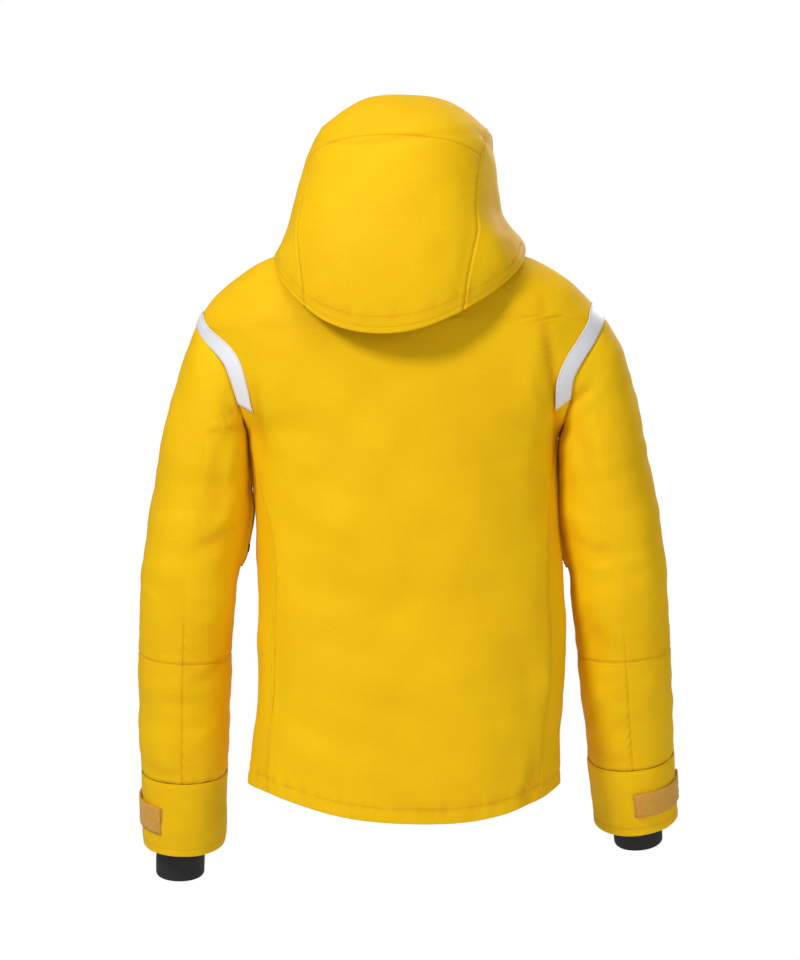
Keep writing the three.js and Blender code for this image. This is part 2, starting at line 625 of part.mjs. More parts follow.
// ---- hood ----
const hoodRow = (angle, key) => between(HOOD_ROWS, 'angle', angle, key);
// A point of the hood in the plane at an angle, at a turn round its arch (0 is the top).
function hoodPoint(plane, turn, inset) {
  const [c, s] = [Math.cos(radians(turn)), Math.sin(radians(turn))];
  const reach = hoodRow(plane, 'reach');
  const low = 0.48 * reach;
  const radial = low + (reach - low - inset) * power(c, HOOD_ROUND);
  const x = (hoodRow(plane, 'wide') - inset) * power(s, HOOD_ROUND);
  const [pc, ps] = [Math.cos(radians(plane)), Math.sin(radians(plane))];
  return vector(x, HOOD_PIVOT.y + radial * pc, HOOD_PIVOT.z + radial * ps);
}

// The rim dips to a point low on the back and rises over the shoulders.
function rimPlane(turn) {
  const t = Math.abs(turn);
  if (t > 90) return THREE.MathUtils.mapLinear(t, 90, HOOD_WRAP, HOOD_RIM_SIDE, HOOD_RIM_FRONT);
  return THREE.MathUtils.lerp(HOOD_ROWS[0].angle, HOOD_RIM_SIDE, (t / 90) ** 1.6);
}

// Turn round the arch of a plane at a distance x from the centre line.
function hoodTurn(x, plane) {
  const ratio = (x / hoodRow(plane, 'wide')) ** (HOOD_ROUND / 2);
  return THREE.MathUtils.radToDeg(Math.asin(Math.min(ratio, 0.98)));
}

// The seams lie in these planes, and each piece has rows of points in between.
const HOOD_SPANS = [
  { low: rimPlane, high: () => HOOD_CROWN, rows: 5 },
  { low: () => HOOD_CROWN, high: () => HOOD_VISOR, rows: 5 },
  { low: () => HOOD_VISOR, high: () => HOOD_ROWS.at(-1).angle, rows: 1 },
];

// A piece of the hood over some of the spans, between two turns that depend on the plane.
// Its edges stop short by a small angle where it meets the next piece.
function hoodPiece(from, to, spans, inset, thick, across, short = [0, 0]) {
  const up = spans.reduce((sum, span) => sum + span.rows, 0);
  const planeOf = (turn, v) => {
    let row = Math.round(v * up);
    let i = 0;
    while (row > spans[i].rows) row -= spans[i++].rows;
    const nudge = v === 0 ? short[0] : v === 1 ? -short[1] : 0;
    return THREE.MathUtils.lerp(spans[i].low(turn), spans[i].high(turn), row / spans[i].rows) + nudge;
  };
  const surface = (depth) => (u, v) => {
    let plane = planeOf(0, v);
    for (let pass = 0; pass < 4; pass++) {
      plane = planeOf(THREE.MathUtils.lerp(from(plane), to(plane), u), v);
    }
    return hoodPoint(plane, THREE.MathUtils.lerp(from(plane), to(plane), u), depth);
  };
  return sheet(surface(inset), surface(inset + thick), across, up);
}

function addHood() {
  const seam = (plane) => hoodTurn(HOOD_SEAM - 0.12 * Math.max(0, plane), plane);
  const middle = (span, across, short) =>
    hoodPiece((p) => 0.1 - seam(p), (p) => seam(p) - 0.1, [span], 0, CLOTH, across, short);
  const [lower, upper, front] = HOOD_SPANS;
  place(hood, 'hood_center_panel', middle(lower, 12, [0, 0.08]), SHELL);
  place(hood, 'hood_top_panel', middle(upper, 12, [0.08, 0.08]), SHELL);
  place(hood, 'hood_visor', middle(front, 12, [0.08, 0]), SHELL);
  for (const { name, side } of ARMS) {
    const panel = hoodPiece((p) => seam(p) + 0.12, () => HOOD_WRAP, HOOD_SPANS, 0, CLOTH, 6);
    place(hood, `hood_side_${name}`, mirrored(panel, side), SHELL);
    const lock = new THREE.CylinderGeometry(4.5, 4.5, 15, 14);
    const edge = hoodPoint(98, HOOD_WRAP - 8, -6);
    place(hood, `hood_cord_lock_${name}`, lock, PLASTIC).position.set(side * edge.x, edge.y, edge.z);
  }
  const raised = { ...lower, low: (turn) => rimPlane(turn) + 4 };
  const end = HOOD_WRAP - 2;
  const lining = hoodPiece(() => -end, () => end, [raised, upper, front], 5, LINING, 14, [0, 1.5]);
  place(hood, 'hood_lining', lining, INSIDE);
}

addBody();
addCollar();
addMainZip();
addPockets();
addHemCord();
ARMS.forEach(addSleeve);
addHood();

export default jacket;
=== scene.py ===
"""An insulated hooded ski jacket in cloth, built round its CAD model.

Shapes are worked out in millimetres, with the jacket facing -Y and its wearer's left at +X.
"""
import math

import bpy
import numpy as np
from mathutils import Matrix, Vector


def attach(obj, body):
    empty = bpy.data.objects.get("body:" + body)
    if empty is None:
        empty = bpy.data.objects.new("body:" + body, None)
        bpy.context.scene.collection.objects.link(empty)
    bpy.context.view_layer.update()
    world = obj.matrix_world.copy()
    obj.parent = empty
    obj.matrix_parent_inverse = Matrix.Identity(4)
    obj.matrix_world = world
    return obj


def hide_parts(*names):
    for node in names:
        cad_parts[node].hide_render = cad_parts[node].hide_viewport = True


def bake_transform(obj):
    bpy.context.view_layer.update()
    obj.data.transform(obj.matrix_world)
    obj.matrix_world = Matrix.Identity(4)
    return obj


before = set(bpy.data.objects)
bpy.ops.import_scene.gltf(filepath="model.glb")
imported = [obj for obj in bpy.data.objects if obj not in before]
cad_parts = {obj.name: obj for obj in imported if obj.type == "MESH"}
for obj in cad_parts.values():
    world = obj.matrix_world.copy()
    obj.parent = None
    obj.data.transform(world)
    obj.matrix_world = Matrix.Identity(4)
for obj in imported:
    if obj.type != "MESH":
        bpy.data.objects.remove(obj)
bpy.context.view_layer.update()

MM = 0.001
SIDES = (("left", 1), ("right", -1))

# ---- camera ----
CAMERA_DISTANCE = 5.0
VIEW_HEIGHT = 1.2384  # metres of the plane through the neck that the view takes in
VIEW_MIDDLE = (0.005, -0.297)  # its x and z


def add_camera():
    data = bpy.data.cameras.new("camera")
    data.sensor_fit = "VERTICAL"
    data.sensor_height = 36
    data.lens = data.sensor_height * CAMERA_DISTANCE / VIEW_HEIGHT
    data.clip_end = 100
    camera = bpy.data.objects.new("camera", data)
    camera.location = (VIEW_MIDDLE[0], CAMERA_DISTANCE, VIEW_MIDDLE[1])
    camera.rotation_euler = (math.pi / 2, 0, math.pi)
    bpy.context.collection.objects.link(camera)
    bpy.context.scene.camera = camera


# ---- arithmetic ----
def smoothstep(low, high, value):
    t = np.clip((np.asarray(value, float) - low) / (high - low), 0, 1)
    return t * t * (3 - 2 * t)


def power(value, exponent):
    return np.sign(value) * np.abs(value) ** exponent


def stack(*parts):
    return np.stack(np.broadcast_arrays(*parts), axis=-1).astype(float)


def unit(vectors):
    return vectors / np.maximum(np.linalg.norm(vectors, axis=-1, keepdims=True), 1e-9)


def curve(places, values):
    """A smooth curve through points, which doesn't overshoot between them."""
    places, values = np.asarray(places, float), np.asarray(values, float)
    if places[0] > places[-1]:
        places, values = places[::-1], values[::-1]
    gap = np.diff(places)
    slope = np.diff(values) / gap
    tangent = np.zeros(len(places))
    tangent[0], tangent[-1] = slope[0], slope[-1]
    product = slope[1:] * slope[:-1]
    total = slope[1:] + slope[:-1]
    tangent[1:-1] = np.where(product > 0, 2 * product / np.where(product > 0, total, 1), 0)

    def at(place):
        place = np.clip(place, places[0], places[-1])
        i = np.clip(np.searchsorted(places, place, side="right") - 1, 0, len(gap) - 1)
        t = (place - places[i]) / gap[i]
        start = values[i] * (1 + 2 * t) * (1 - t) ** 2 + tangent[i] * gap[i] * t * (1 - t) ** 2
        end = values[i + 1] * t * t * (3 - 2 * t) + tangent[i + 1] * gap[i] * t * t * (t - 1)
        return start + end

    return at


def lengths(points):
    """How far along a line of points each one is."""
    steps = np.linalg.norm(np.diff(points, axis=0), axis=-1)
    return np.concatenate([[0], np.cumsum(steps)])


def ripples(points, wavelength, seed, count=9, stretch=(1, 1, 1)):
    """Soft irregular waves in space, mostly between -1.5 and 1.5."""
    chance = np.random.default_rng(seed)
    total = np.zeros(points.shape[:-1])
    for _ in range(count):
        direction = unit(chance.normal(size=3)) * stretch
        size = 2 * math.pi / (wavelength * chance.uniform(0.7, 1.5))
        total += np.sin(points @ direction * size + chance.uniform(0, 2 * math.pi))
    return total * math.sqrt(2 / count)


# ---- cloth as a grid of points ----
def oriented(values, edge):
    """Turns a grid so that an edge is its first row: 0 and 1 the rows, 2 and 3 the columns."""
    values = np.swapaxes(values, 0, 1) if edge > 1 else values
    return values[::-1] if edge in (1, 3) else values


def restored(values, edge):
    """Turns a grid back."""
    values = values[::-1] if edge in (1, 3) else values
    return np.swapaxes(values, 0, 1) if edge > 1 else values


class Cloth:
    """Rows of points. A closed cloth's last column lies on its first."""

    def __init__(self, points, closed=False, inward=False):
        self.points = np.array(points, float)
        self.closed = closed
        self.inward = inward
        # how deep the fine relief goes, which the material turns into painted shade and painted
        # highlight
        self.shading_relief = np.zeros(self.points.shape[:2])
        self.across = np.zeros(self.points.shape[:2])
        self.along = np.zeros(self.points.shape[:2])
        self.across[:, 1:] = np.cumsum(
            np.linalg.norm(np.diff(self.points, axis=1), axis=-1), axis=1
        )
        self.along[1:] = np.cumsum(np.linalg.norm(np.diff(self.points, axis=0), axis=-1), axis=0)
        self.uv = stack(self.across - self.across[:, -1:] / 2, self.along)

    def normals(self):
        points = self.points
        if self.closed:
            points = np.concatenate([points[:, -2:-1], points, points[:, 1:2]], axis=1)
        normal = np.cross(np.gradient(points, axis=1), np.gradient(points, axis=0))
        if self.closed:
            normal = normal[:, 1:-1]
        normal = unit(normal)
        away = self.points - self.points.mean(axis=(0, 1))
        outward = (normal * away).sum() > 0
        return normal if outward != self.inward else -normal

    def push(self, amount, shows=True):
        """Moves the points out along their normals, and remembers fine relief, from which the colour
        paints shade in hollows and highlight on rises.
        """
        self.points += self.normals() * amount[..., None]
        if shows:
            self.shading_relief += amount

    def edge_distances(self):
        """Distance from the first and last row and from the first and last column."""
        return (
            self.along,
            self.along[-1:] - self.along,
            self.across,
            self.across[:, -1:] - self.across,
        )

    def seam(self, edges, depth=1.7, width=2.6):
        """Rolls the cloth in along seams at its edges: 0 and 1 the rows, 2 and 3 the columns."""
        distances = self.edge_distances()
        for edge in edges:
            near = np.exp(-((distances[edge] / width) ** 2))
            swell = np.exp(-(((distances[edge] - 2.6 * width) / (1.4 * width)) ** 2))
            # the groove also goes into the relief, so the colour paints shade along the seam
            self.push(0.3 * swell - depth * near)

    def extend(self, edge, rows, shading_relief=None, uv_shift=0.0):
        """Adds rows of points beyond an edge, which otherwise repeat the values at the edge."""
        self.points = restored(np.concatenate([rows, oriented(self.points, edge)]), edge)
        for name in ("shading_relief", "across", "along", "uv"):
            values = oriented(getattr(self, name), edge)
            extra = np.repeat(values[:1], len(rows), axis=0)
            if name == "shading_relief" and shading_relief is not None:
                extra = np.full_like(extra, shading_relief)
            if name == "uv":
                extra = extra + uv_shift
            setattr(self, name, restored(np.concatenate([extra, values]), edge))

    def tuck(self, edge, depth=7.0):
        """Adds the seam allowance, which turns straight in behind an edge."""
        points, normal = oriented(self.points, edge), oriented(self.normals(), edge)
        outward = unit(points[0] - points[1])
        bend = points[0] - normal[0] * 1.2 + outward * 0.5
        end = points[0] - normal[0] * depth + outward * 0.2
        # the allowance is given low relief, so the colour paints shade on it behind the edge
        self.extend(edge, np.array([end, bend]), shading_relief=-1.5)

    def part(self, first, last):
        """The rows from first to last as a cloth of their own, just as they lie."""
        piece = Cloth(self.points[first : last + 1], self.closed, self.inward)
        piece.shading_relief = self.shading_relief[first : last + 1].copy()
        return piece

    def pucker(self, edge, amount, period, reach, seed):
        """Short wrinkles that run away from a seam at an edge."""
        distance = self.edge_distances()[edge]
        run = self.along if edge > 1 else self.across
        chance = np.random.default_rng(seed)
        wave = np.zeros_like(run)
        for _ in range(5):
            size = 2 * math.pi / (period * chance.uniform(0.75, 1.6))
            wave += np.sin(run * size + distance * chance.uniform(-0.05, 0.05) + chance.uniform(0, 6))
        fade = np.exp(-distance / reach) * smoothstep(0, 2, distance)
        self.push(amount * wave / 2.2 * fade)

    def turn(self, edge, thick=3.0, rows=4):
        """Folds an edge under."""
        points, normal = oriented(self.points, edge), oriented(self.normals(), edge)
        outward = unit(points[0] - points[1])
        radius = thick / 2
        rolled = [points[k] - normal[k] * thick for k in range(rows, -1, -1)]
        for angle in (2.6, 2.0, 1.4, 0.8, 0.3):
            sink = radius * (1 - math.cos(angle))
            rolled.append(points[0] - normal[0] * sink + outward * radius * math.sin(angle))
        steps = np.linspace(-thick * 2 - 6, -0.5, len(rolled))[:, None, None]
        way = (1, 0) if edge > 1 else (0, 1)
        self.extend(edge, np.array(rolled), uv_shift=steps * way)


def mesh_object(name, points, faces, look, shading_relief=None, uv=None):
    """A smooth-shaded object from points in millimetres."""
    mesh = bpy.data.meshes.new(name)
    mesh.from_pydata((np.asarray(points) * MM).tolist(), [], [tuple(face) for face in faces])
    mesh.polygons.foreach_set("use_smooth", [True] * len(mesh.polygons))
    if uv is not None:
        layer = mesh.uv_layers.new(name="UVMap")
        layer.data.foreach_set("uv", (np.asarray(uv) * MM).ravel())
    # the relief goes with the mesh, for the material's painted shade and painted highlight
    if shading_relief is not None:
        layer = mesh.attributes.new("shading_relief", "FLOAT", "POINT")
        layer.data.foreach_set("value", np.asarray(shading_relief, np.float32).ravel())
    mesh.materials.append(look)
    mesh.update()
    piece = bpy.data.objects.new(name, mesh)
    bpy.context.collection.objects.link(piece)
    return piece


def cloth_object(name, cloth, look):
    rows, columns = cloth.points.shape[:2]
    used = columns - 1 if cloth.closed else columns
    j, i = np.meshgrid(np.arange(rows - 1), np.arange(columns - 1), indexing="ij")
    corners = ((0, 0), (0, 1), (1, 1), (1, 0))
    normal = cloth.normals()
    middle = (rows // 2, columns // 2)
    a, b = cloth.points[middle], cloth.points[middle[0], middle[1] + 1]
    c = cloth.points[middle[0] + 1, middle[1] + 1]
    if np.dot(np.cross(b - a, c - b), normal[middle]) < 0:
        corners = corners[::-1]
    faces = np.stack([(j + dj) * used + (i + di) % used for dj, di in corners], axis=-1)
    uv = np.stack([cloth.uv[j + dj, i + di] for dj, di in corners], axis=-2)
    shading_relief = cloth.shading_relief[:, :used]
    return mesh_object(
        name,
        cloth.points[:, :used].reshape(-1, 3),
        faces.reshape(-1, 4).tolist(),
        look,
        shading_relief,
        uv.reshape(-1, 2),
    )


def mirror(points, side):
    return points * (side, 1, 1)


# ---- looks ----
def new_look(name, roughness, **settings):
    """A material, its node tree and its shader, with plain values on the shader's sockets."""
    look = bpy.data.materials.new(name)
    look.use_nodes = True
    tree = look.node_tree
    shader = tree.nodes["Principled BSDF"]
    shader.inputs["Roughness"].default_value = roughness
    for key, value in settings.items():
        shader.inputs[key.replace("_", " ")].default_value = value
    return look, tree, shader


def add_node(tree, kind, inputs=(), **values):
    node = tree.nodes.new("ShaderNode" + kind)
    for key, value in values.items():
        setattr(node, key, value)
    for key, value in dict(inputs).items():
        if isinstance(value, bpy.types.NodeSocket):
            tree.links.new(value, node.inputs[key])
        else:
            node.inputs[key].default_value = value
    return node


def math_node(tree, operation, a, b=0.0):
    return add_node(tree, "Math", {0: a, 1: b}, operation=operation).outputs[0]


def mix_colour(tree, factor, a, b, blend="MIX"):
    node = add_node(tree, "Mix", data_type="RGBA", blend_type=blend)
    for socket, value in zip((0, 6, 7), (factor, a, b)):
        if isinstance(value, bpy.types.NodeSocket):
            tree.links.new(value, node.inputs[socket])
        else:
            node.inputs[socket].default_value = value
    return node.outputs[2]


def ramp(tree, value, low, high, to_low=0.0, to_high=1.0):
    inputs = {0: value, 1: low, 2: high, 3: to_low, 4: to_high}
    return add_node(tree, "MapRange", inputs, clamp=True).outputs[0]


def noise_node(tree, place, scale, detail, distortion=0.0):
    inputs = {"Vector": place, "Scale": scale, "Detail": detail, "Distortion": distortion}
    return add_node(tree, "TexNoise", inputs).outputs["Fac"]


def bump_node(tree, height, strength, distance, normal=None):
    inputs = {"Height": height, "Strength": strength, "Distance": distance}
    if normal is not None:
        inputs["Normal"] = normal
    return add_node(tree, "Bump", inputs).outputs[0]


def grey_node(tree, value):
    return add_node(tree, "CombineColor", {0: value, 1: value, 2: value}).outputs[0]


def weave_height(tree, place, pitch):
    """Threads over and under each other, pitch metres apart."""
    scale = math.pi / 10 / pitch
    waves = [
        add_node(
            tree,
            "TexWave",
            {"Vector": place, "Scale": scale, "Distortion": 0.3, "Detail": 1.0},
            bands_direction=way,
        ).outputs["Fac"]
        for way in ("X", "Y")
    ]
    return math_node(tree, "MULTIPLY", waves[0], waves[1])


def fabric(name, light, dark, pitch, roughness, thread=0.25, crumple=0.15, grain=0.0, **settings):
    """Woven cloth: two tones that wander, painted shade in folds, seams and tucks and a painted
    highlight on ridges, a weave and a soft crumple.
    """
    look, tree, shader = new_look(name, roughness, **settings)
    place = add_node(tree, "UVMap", uv_map="UVMap").outputs["UV"]
    broad = noise_node(tree, place, 7.0, 3.0)
    fine = noise_node(tree, place, 260.0, 2.0)
    tone = mix_colour(tree, ramp(tree, broad, 0.35, 0.65), dark, light)
    speck = grey_node(tree, ramp(tree, fine, 0.3, 0.7, 0.97, 1.02))
    tone = mix_colour(tree, 1.0, tone, speck, "MULTIPLY")
    shading_relief = add_node(tree, "Attribute", attribute_name="shading_relief").outputs["Fac"]
    # painted shade: a darker, browner colour where the cloth's relief sinks into folds, seams and tucks
    deep = math_node(tree, "MULTIPLY", ramp(tree, shading_relief, -2.4, 0.1, 1.0, 0.0), 0.8)
    shaded = mix_colour(tree, 1.0, tone, (0.8, 0.6, 0.4, 1), "MULTIPLY")
    tone = mix_colour(tree, deep, tone, shaded)
    # painted highlight: a lighter colour where the relief rises into ridges
    tone = mix_colour(tree, ramp(tree, shading_relief, 0.4, 1.6, 0.0, 0.2), tone, light)
    tree.links.new(tone, shader.inputs["Base Color"])
    rough = ramp(tree, fine, 0.3, 0.7, roughness - 0.06, roughness + 0.06)
    tree.links.new(rough, shader.inputs["Roughness"])
    normal = bump_node(tree, noise_node(tree, place, 34.0, 4.0, 0.6), crumple, 0.0035)
    normal = bump_node(tree, weave_height(tree, place, pitch), thread, 0.0002, normal)
    if grain:
        normal = bump_node(tree, noise_node(tree, place, 1500.0, 2.0), grain, 0.0008, normal)
    tree.links.new(normal, shader.inputs["Normal"])
    return look


def smooth_solid(name, colour, roughness, metallic=0.0, scratches=0.2):
    """Moulded plastic or plated metal, with small scratches."""
    look, tree, shader = new_look(name, roughness, Metallic=metallic)
    place = add_node(tree, "TexCoord").outputs["Object"]
    noise = noise_node(tree, place, 900.0, 3.0)
    dark = tuple(0.8 * value for value in colour[:3]) + (1,)
    tree.links.new(mix_colour(tree, noise, dark, colour), shader.inputs["Base Color"])
    rough = ramp(tree, noise, 0.3, 0.7, roughness - 0.1, roughness + 0.1)
    tree.links.new(rough, shader.inputs["Roughness"])
    tree.links.new(bump_node(tree, noise, scratches, 0.0001), shader.inputs["Normal"])
    return look


YELLOW = (0.90, 0.545, 0.002, 1)
YELLOW_DEEP = (0.86, 0.495, 0.0015, 1)
looks = {
    "shell": fabric(
        "shell_cloth", YELLOW, YELLOW_DEEP, 0.0007, 0.66, Sheen_Weight=0.05, Sheen_Roughness=0.4,
        Sheen_Tint=(1.0, 0.75, 0.2, 1), Specular_IOR_Level=0.12,
    ),
    "thread": fabric(
        "thread", (0.74, 0.37, 0.006, 1), (0.66, 0.32, 0.004, 1), 0.0004, 0.7, crumple=0.0,
    ),
    "lining": fabric(
        "lining_cloth", (0.045, 0.047, 0.052, 1), (0.03, 0.031, 0.036, 1), 0.0006, 0.5,
        Sheen_Weight=0.2,
    ),
    "silver": fabric(
        "reflective_cloth", (0.86, 0.88, 0.93, 1), (0.78, 0.81, 0.87, 1), 0.0005, 0.42, crumple=0.1,
    ),
    "knit": fabric(
        "knit_cloth", (0.006, 0.006, 0.007, 1), (0.003, 0.003, 0.004, 1), 0.0012, 0.7,
        thread=0.5, crumple=0.2, Sheen_Weight=0.08,
    ),
    "hooks": fabric(
        "hook_cloth", (0.80, 0.45, 0.06, 1), (0.68, 0.33, 0.03, 1), 0.0014, 0.9,
        thread=0.8, grain=0.8, Sheen_Weight=0.15,
    ),
    "tape": fabric("zip_cloth", (0.55, 0.30, 0.02, 1), (0.42, 0.22, 0.012, 1), 0.0009, 0.75, thread=0.6),
    "teeth": smooth_solid("zip_teeth", (0.50, 0.30, 0.03, 1), 0.35),
    "plastic": smooth_solid("black_plastic", (0.016, 0.016, 0.018, 1), 0.45),
    "metal": smooth_solid("zip_metal", (0.06, 0.06, 0.065, 1), 0.38, metallic=0.8),
    "cord": fabric("cord_cloth", (0.03, 0.03, 0.033, 1), (0.015, 0.015, 0.018, 1), 0.001, 0.8),
}


def finish_piece(piece, body, nodes=()):
    """Lets a piece ride on its body and stand for its CAD nodes."""
    if body:
        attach(piece, body)
    if nodes:
        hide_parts(*nodes)
    return piece


def add_cloth(name, cloth, look, body, nodes=(), thick=0.0):
    piece = cloth_object(name, cloth, looks[look])
    if thick:
        solid = piece.modifiers.new("thickness", "SOLIDIFY")
        solid.thickness = thick * MM
        solid.offset = -1
    return finish_piece(piece, body, nodes)


# ---- stitches ----
STITCH = 3.6  # from one stitch to the next
STITCH_LENGTH = 2.5
stitch_lines = {}  # body: list of (points, normals)


def sew(body, cloth, edge, distance):
    """Plans a line of stitches on a cloth, at a distance from an edge."""
    grids = (cloth.edge_distances()[edge], cloth.points, cloth.normals())
    run, points, normals = (oriented(values, edge) for values in grids)
    line, out = [], []
    for i in range(run.shape[1]):
        line.append([np.interp(distance, run[:, i], points[:, i, k]) for k in range(3)])
        out.append([np.interp(distance, run[:, i], normals[:, i, k]) for k in range(3)])
    stitch_lines.setdefault(body, []).append((np.array(line), np.array(out)))


def stitch_mesh(lines):
    """Small spindles along the lines, half sunk in the cloth."""
    points, faces = [], []
    for line, out in lines:
        run = lengths(line)
        for start in np.arange(0, run[-1] - STITCH_LENGTH, STITCH):
            ends = [
                np.array([np.interp(at, run, line[:, k]) for k in range(3)])
                for at in (start, start + STITCH_LENGTH)
            ]
            up = unit(np.array([np.interp(start, run, out[:, k]) for k in range(3)]))
            middle = (ends[0] + ends[1]) / 2 + up * 0.28
            side = unit(np.cross(ends[1] - ends[0], up)) * 0.42
            base = len(points)
            points += [ends[0] - up * 0.1, ends[1] - up * 0.1, middle + side, middle - side]
            points += [middle + up * 0.3, middle - up * 0.3]
            for a, b in ((2, 4), (4, 3), (3, 5), (5, 2)):
                faces += [(base, base + a, base + b), (base + 1, base + b, base + a)]
    return np.array(points), faces


def add_stitches():
    for body, lines in stitch_lines.items():
        points, faces = stitch_mesh(lines)
        piece = mesh_object(f"stitching_{body}", points, faces, looks["thread"])
        finish_piece(piece, body)


# ---- body ----
HEM_FRONT, HEM_SIDE, HEM_BACK = -690, -686, -728
NECK = 14
BODY_ROWS = (  # height, half width, depth behind the middle, roundness
    (NECK, 82, 71, 2.0),
    (12, 84, 72, 2.0),
    (2, 120, 86, 2.0),
    (-13, 172, 98, 2.0),
    (-38, 212, 107, 2.1),
    (-68, 245, 115, 2.3),
    (-104, 266, 121, 2.4),
    (-146, 268, 125, 2.4),
    (-200, 236, 128, 2.4),
    (-240, 202, 130, 2.4),
    (-345, 192, 133, 2.4),
    (-430, 196, 133, 2.4),
    (-560, 199, 131, 2.4),
    (-640, 199, 129, 2.4),
    (-760, 199, 128, 2.4),
)
row_height = [row[0] for row in BODY_ROWS]
body_wide, body_back, body_round = (
    curve(row_height, [row[k] for row in BODY_ROWS]) for k in (1, 2, 3)
)
ZIP_EDGE = 9
HEM_LINE = 17  # from the hem's edge up to its stitches
HEM_BEND = -640  # below this height the rows follow the hem
BODY_SEAM = 0.6  # depth
ARMHOLE_LOW = -246
# The armholes' seams, from the underarm up: height and distance from the middle.
ARMHOLES = {
    1: curve(
        (-246, -232, -202, -184, -172, -154, -142, -120, -104, -94, -66),
        (199, 202, 211, 217, 221, 228, 236, 255, 263.5, 267, 272),
    ),
    -1: curve(
        (-246, -232, -202, -184, -170, -161, -147, -124, -95, -86, -66),
        (199, 203, 209, 211.5, 213.5, 217, 225, 240, 257, 261, 268),
    ),
}
LEAN = ((-728, 0), (-681, 0), (-619, -3.5), (-555, -9), (-451, -10), (-387, -9), (-335, -5))
ARM_LEAN = ((-258, 0.5), (-200, -1), (-130, -1.5), (-100, 1), (-64, 4), (14, 5))
body_lean = curve(*zip(*(LEAN + ARM_LEAN)))
arm_lean = curve(*zip(*(((-900, 0), (-335, 0)) + ARM_LEAN)))


def front_depth(z):
    return np.interp(z, (-690, 62), (132, 104))


def body_point(angle, z, inset=0.0):
    """A point of the body at an angle in degrees: 0 is the wearer's left, 90 the back."""
    c, s = np.cos(np.radians(angle)), np.sin(np.radians(angle))
    depth = np.where(s > 0, body_back(z), front_depth(z)) - inset
    share = 2 / body_round(z)
    return stack((body_wide(z) - inset) * power(c, share), depth * power(s, share), z)


def onto_body(points):
    """Moves points out or in at their own height, until they lie on the body."""
    x, y, z = np.moveaxis(points, -1, 0)
    share = body_round(z)
    depth = np.where(y > 0, body_back(z), front_depth(z))
    far = np.abs(x / body_wide(z)) ** share + np.abs(y / depth) ** share
    grow = np.maximum(far, 1e-6) ** (-1 / share)
    return stack(x * grow, y * grow, z)


def hem_height(angle, side=1):
    c, s = np.cos(np.radians(angle)), np.sin(np.radians(angle))
    drop = np.where(s > 0, HEM_BACK - HEM_SIDE, HEM_FRONT - HEM_SIDE)
    return HEM_SIDE + drop * np.abs(s) ** 2.1 + 9 * side * c * np.maximum(s, 0)


def body_angle(x, z):
    ratio = np.clip(x / body_wide(z), 0, 1)
    return np.degrees(np.arccos(ratio ** (body_round(z) / 2)))


def armhole_top(side):
    high = np.linspace(-120, -66, 400)
    return float(high[np.argmin(np.abs(ARMHOLES[side](high) - body_wide(high)))])


ARMHOLE_TOP = {side: armhole_top(side) for _, side in SIDES}
UNDERARM = float(body_angle(ARMHOLES[1](ARMHOLE_LOW), ARMHOLE_LOW))
side_back = curve((-728, -430, ARMHOLE_LOW), (32, 30, UNDERARM))
side_front = curve((-728, -430, ARMHOLE_LOW), (14, 13, UNDERARM))
SPACING = 6.0


def body_heights():
    z = np.linspace(HEM_BACK, NECK, 3000)
    run = lengths(stack(body_wide(z), 0 * z, z))
    heights = np.interp(np.linspace(0, run[-1], int(run[-1] / SPACING)), run, z)
    for level in (ARMHOLE_LOW, *ARMHOLE_TOP.values()):
        heights[np.argmin(np.abs(heights - level))] = level
    return heights


HEIGHTS = body_heights()


def fine_ends(count, length, low=True, high=True):
    """Places from 0 to 1, closer together towards ends that have a seam."""
    near = np.array((0, 1.2, 2.4, 4.0, 6.5)) / length
    first = near[:-1] if low else []
    last = 1 - near[::-1][1:] if high else []
    middle = np.linspace(near[-1] if low else 0, 1 - near[-1] if high else 1, count)
    return np.concatenate([first, middle, last])


def body_cloth(low, high, columns, inset=0.0, heights=HEIGHTS, lift=0.0, side=1):
    """A part of the body between two edge angles, each a function of the height."""
    u = fine_ends(columns, columns * SPACING)
    angle = low(heights)[:, None] * (1 - u) + high(heights)[:, None] * u
    z = np.repeat(heights[:, None], len(u), axis=1)
    reach = (hem_height(angle, side) + lift - HEM_BEND) / (HEM_BACK - HEM_BEND)
    return body_point(angle, np.where(z < HEM_BEND, HEM_BEND + (z - HEM_BEND) * reach, z), inset)


def back_edge(z, side):
    armhole = np.where(z >= ARMHOLE_TOP[side], 0.0, body_angle(ARMHOLES[side](z), z))
    return np.where(z > ARMHOLE_LOW, armhole, side_back(z))


def back_left(z):
    return back_edge(z, 1)


def back_right(z):
    return 180 - back_edge(z, -1)


def gusset_front(z):
    return -side_front(z)


def front_outer(side):
    def edge(z):
        return -np.where(z > ARMHOLE_LOW, back_edge(z, side), side_front(z))

    return edge


def leaned(points, lean=body_lean):
    """Shifts points sideways as the jacket hangs, except at the front, where it is zipped."""
    moved = points.copy()
    moved[..., 0] += lean(points[..., 2]) * smoothstep(-98, -30, points[..., 1])
    return moved


def beside(points, route):
    """Distance of points from a route of x and z, and the share of the route that is nearest."""
    route = np.array(route, float)
    place = points[..., [0, 2]]
    distance = np.full(place.shape[:2], 1e9)
    share = np.zeros(place.shape[:2])
    run = lengths(route)
    for k in range(len(route) - 1):
        step = route[k + 1] - route[k]
        t = np.clip(((place - route[k]) @ step) / (step @ step), 0, 1)
        away = np.linalg.norm(place - route[k] - t[..., None] * step, axis=-1)
        share = np.where(away < distance, (run[k] + t * (run[k + 1] - run[k])) / run[-1], share)
        distance = np.minimum(distance, away)
    return distance, share


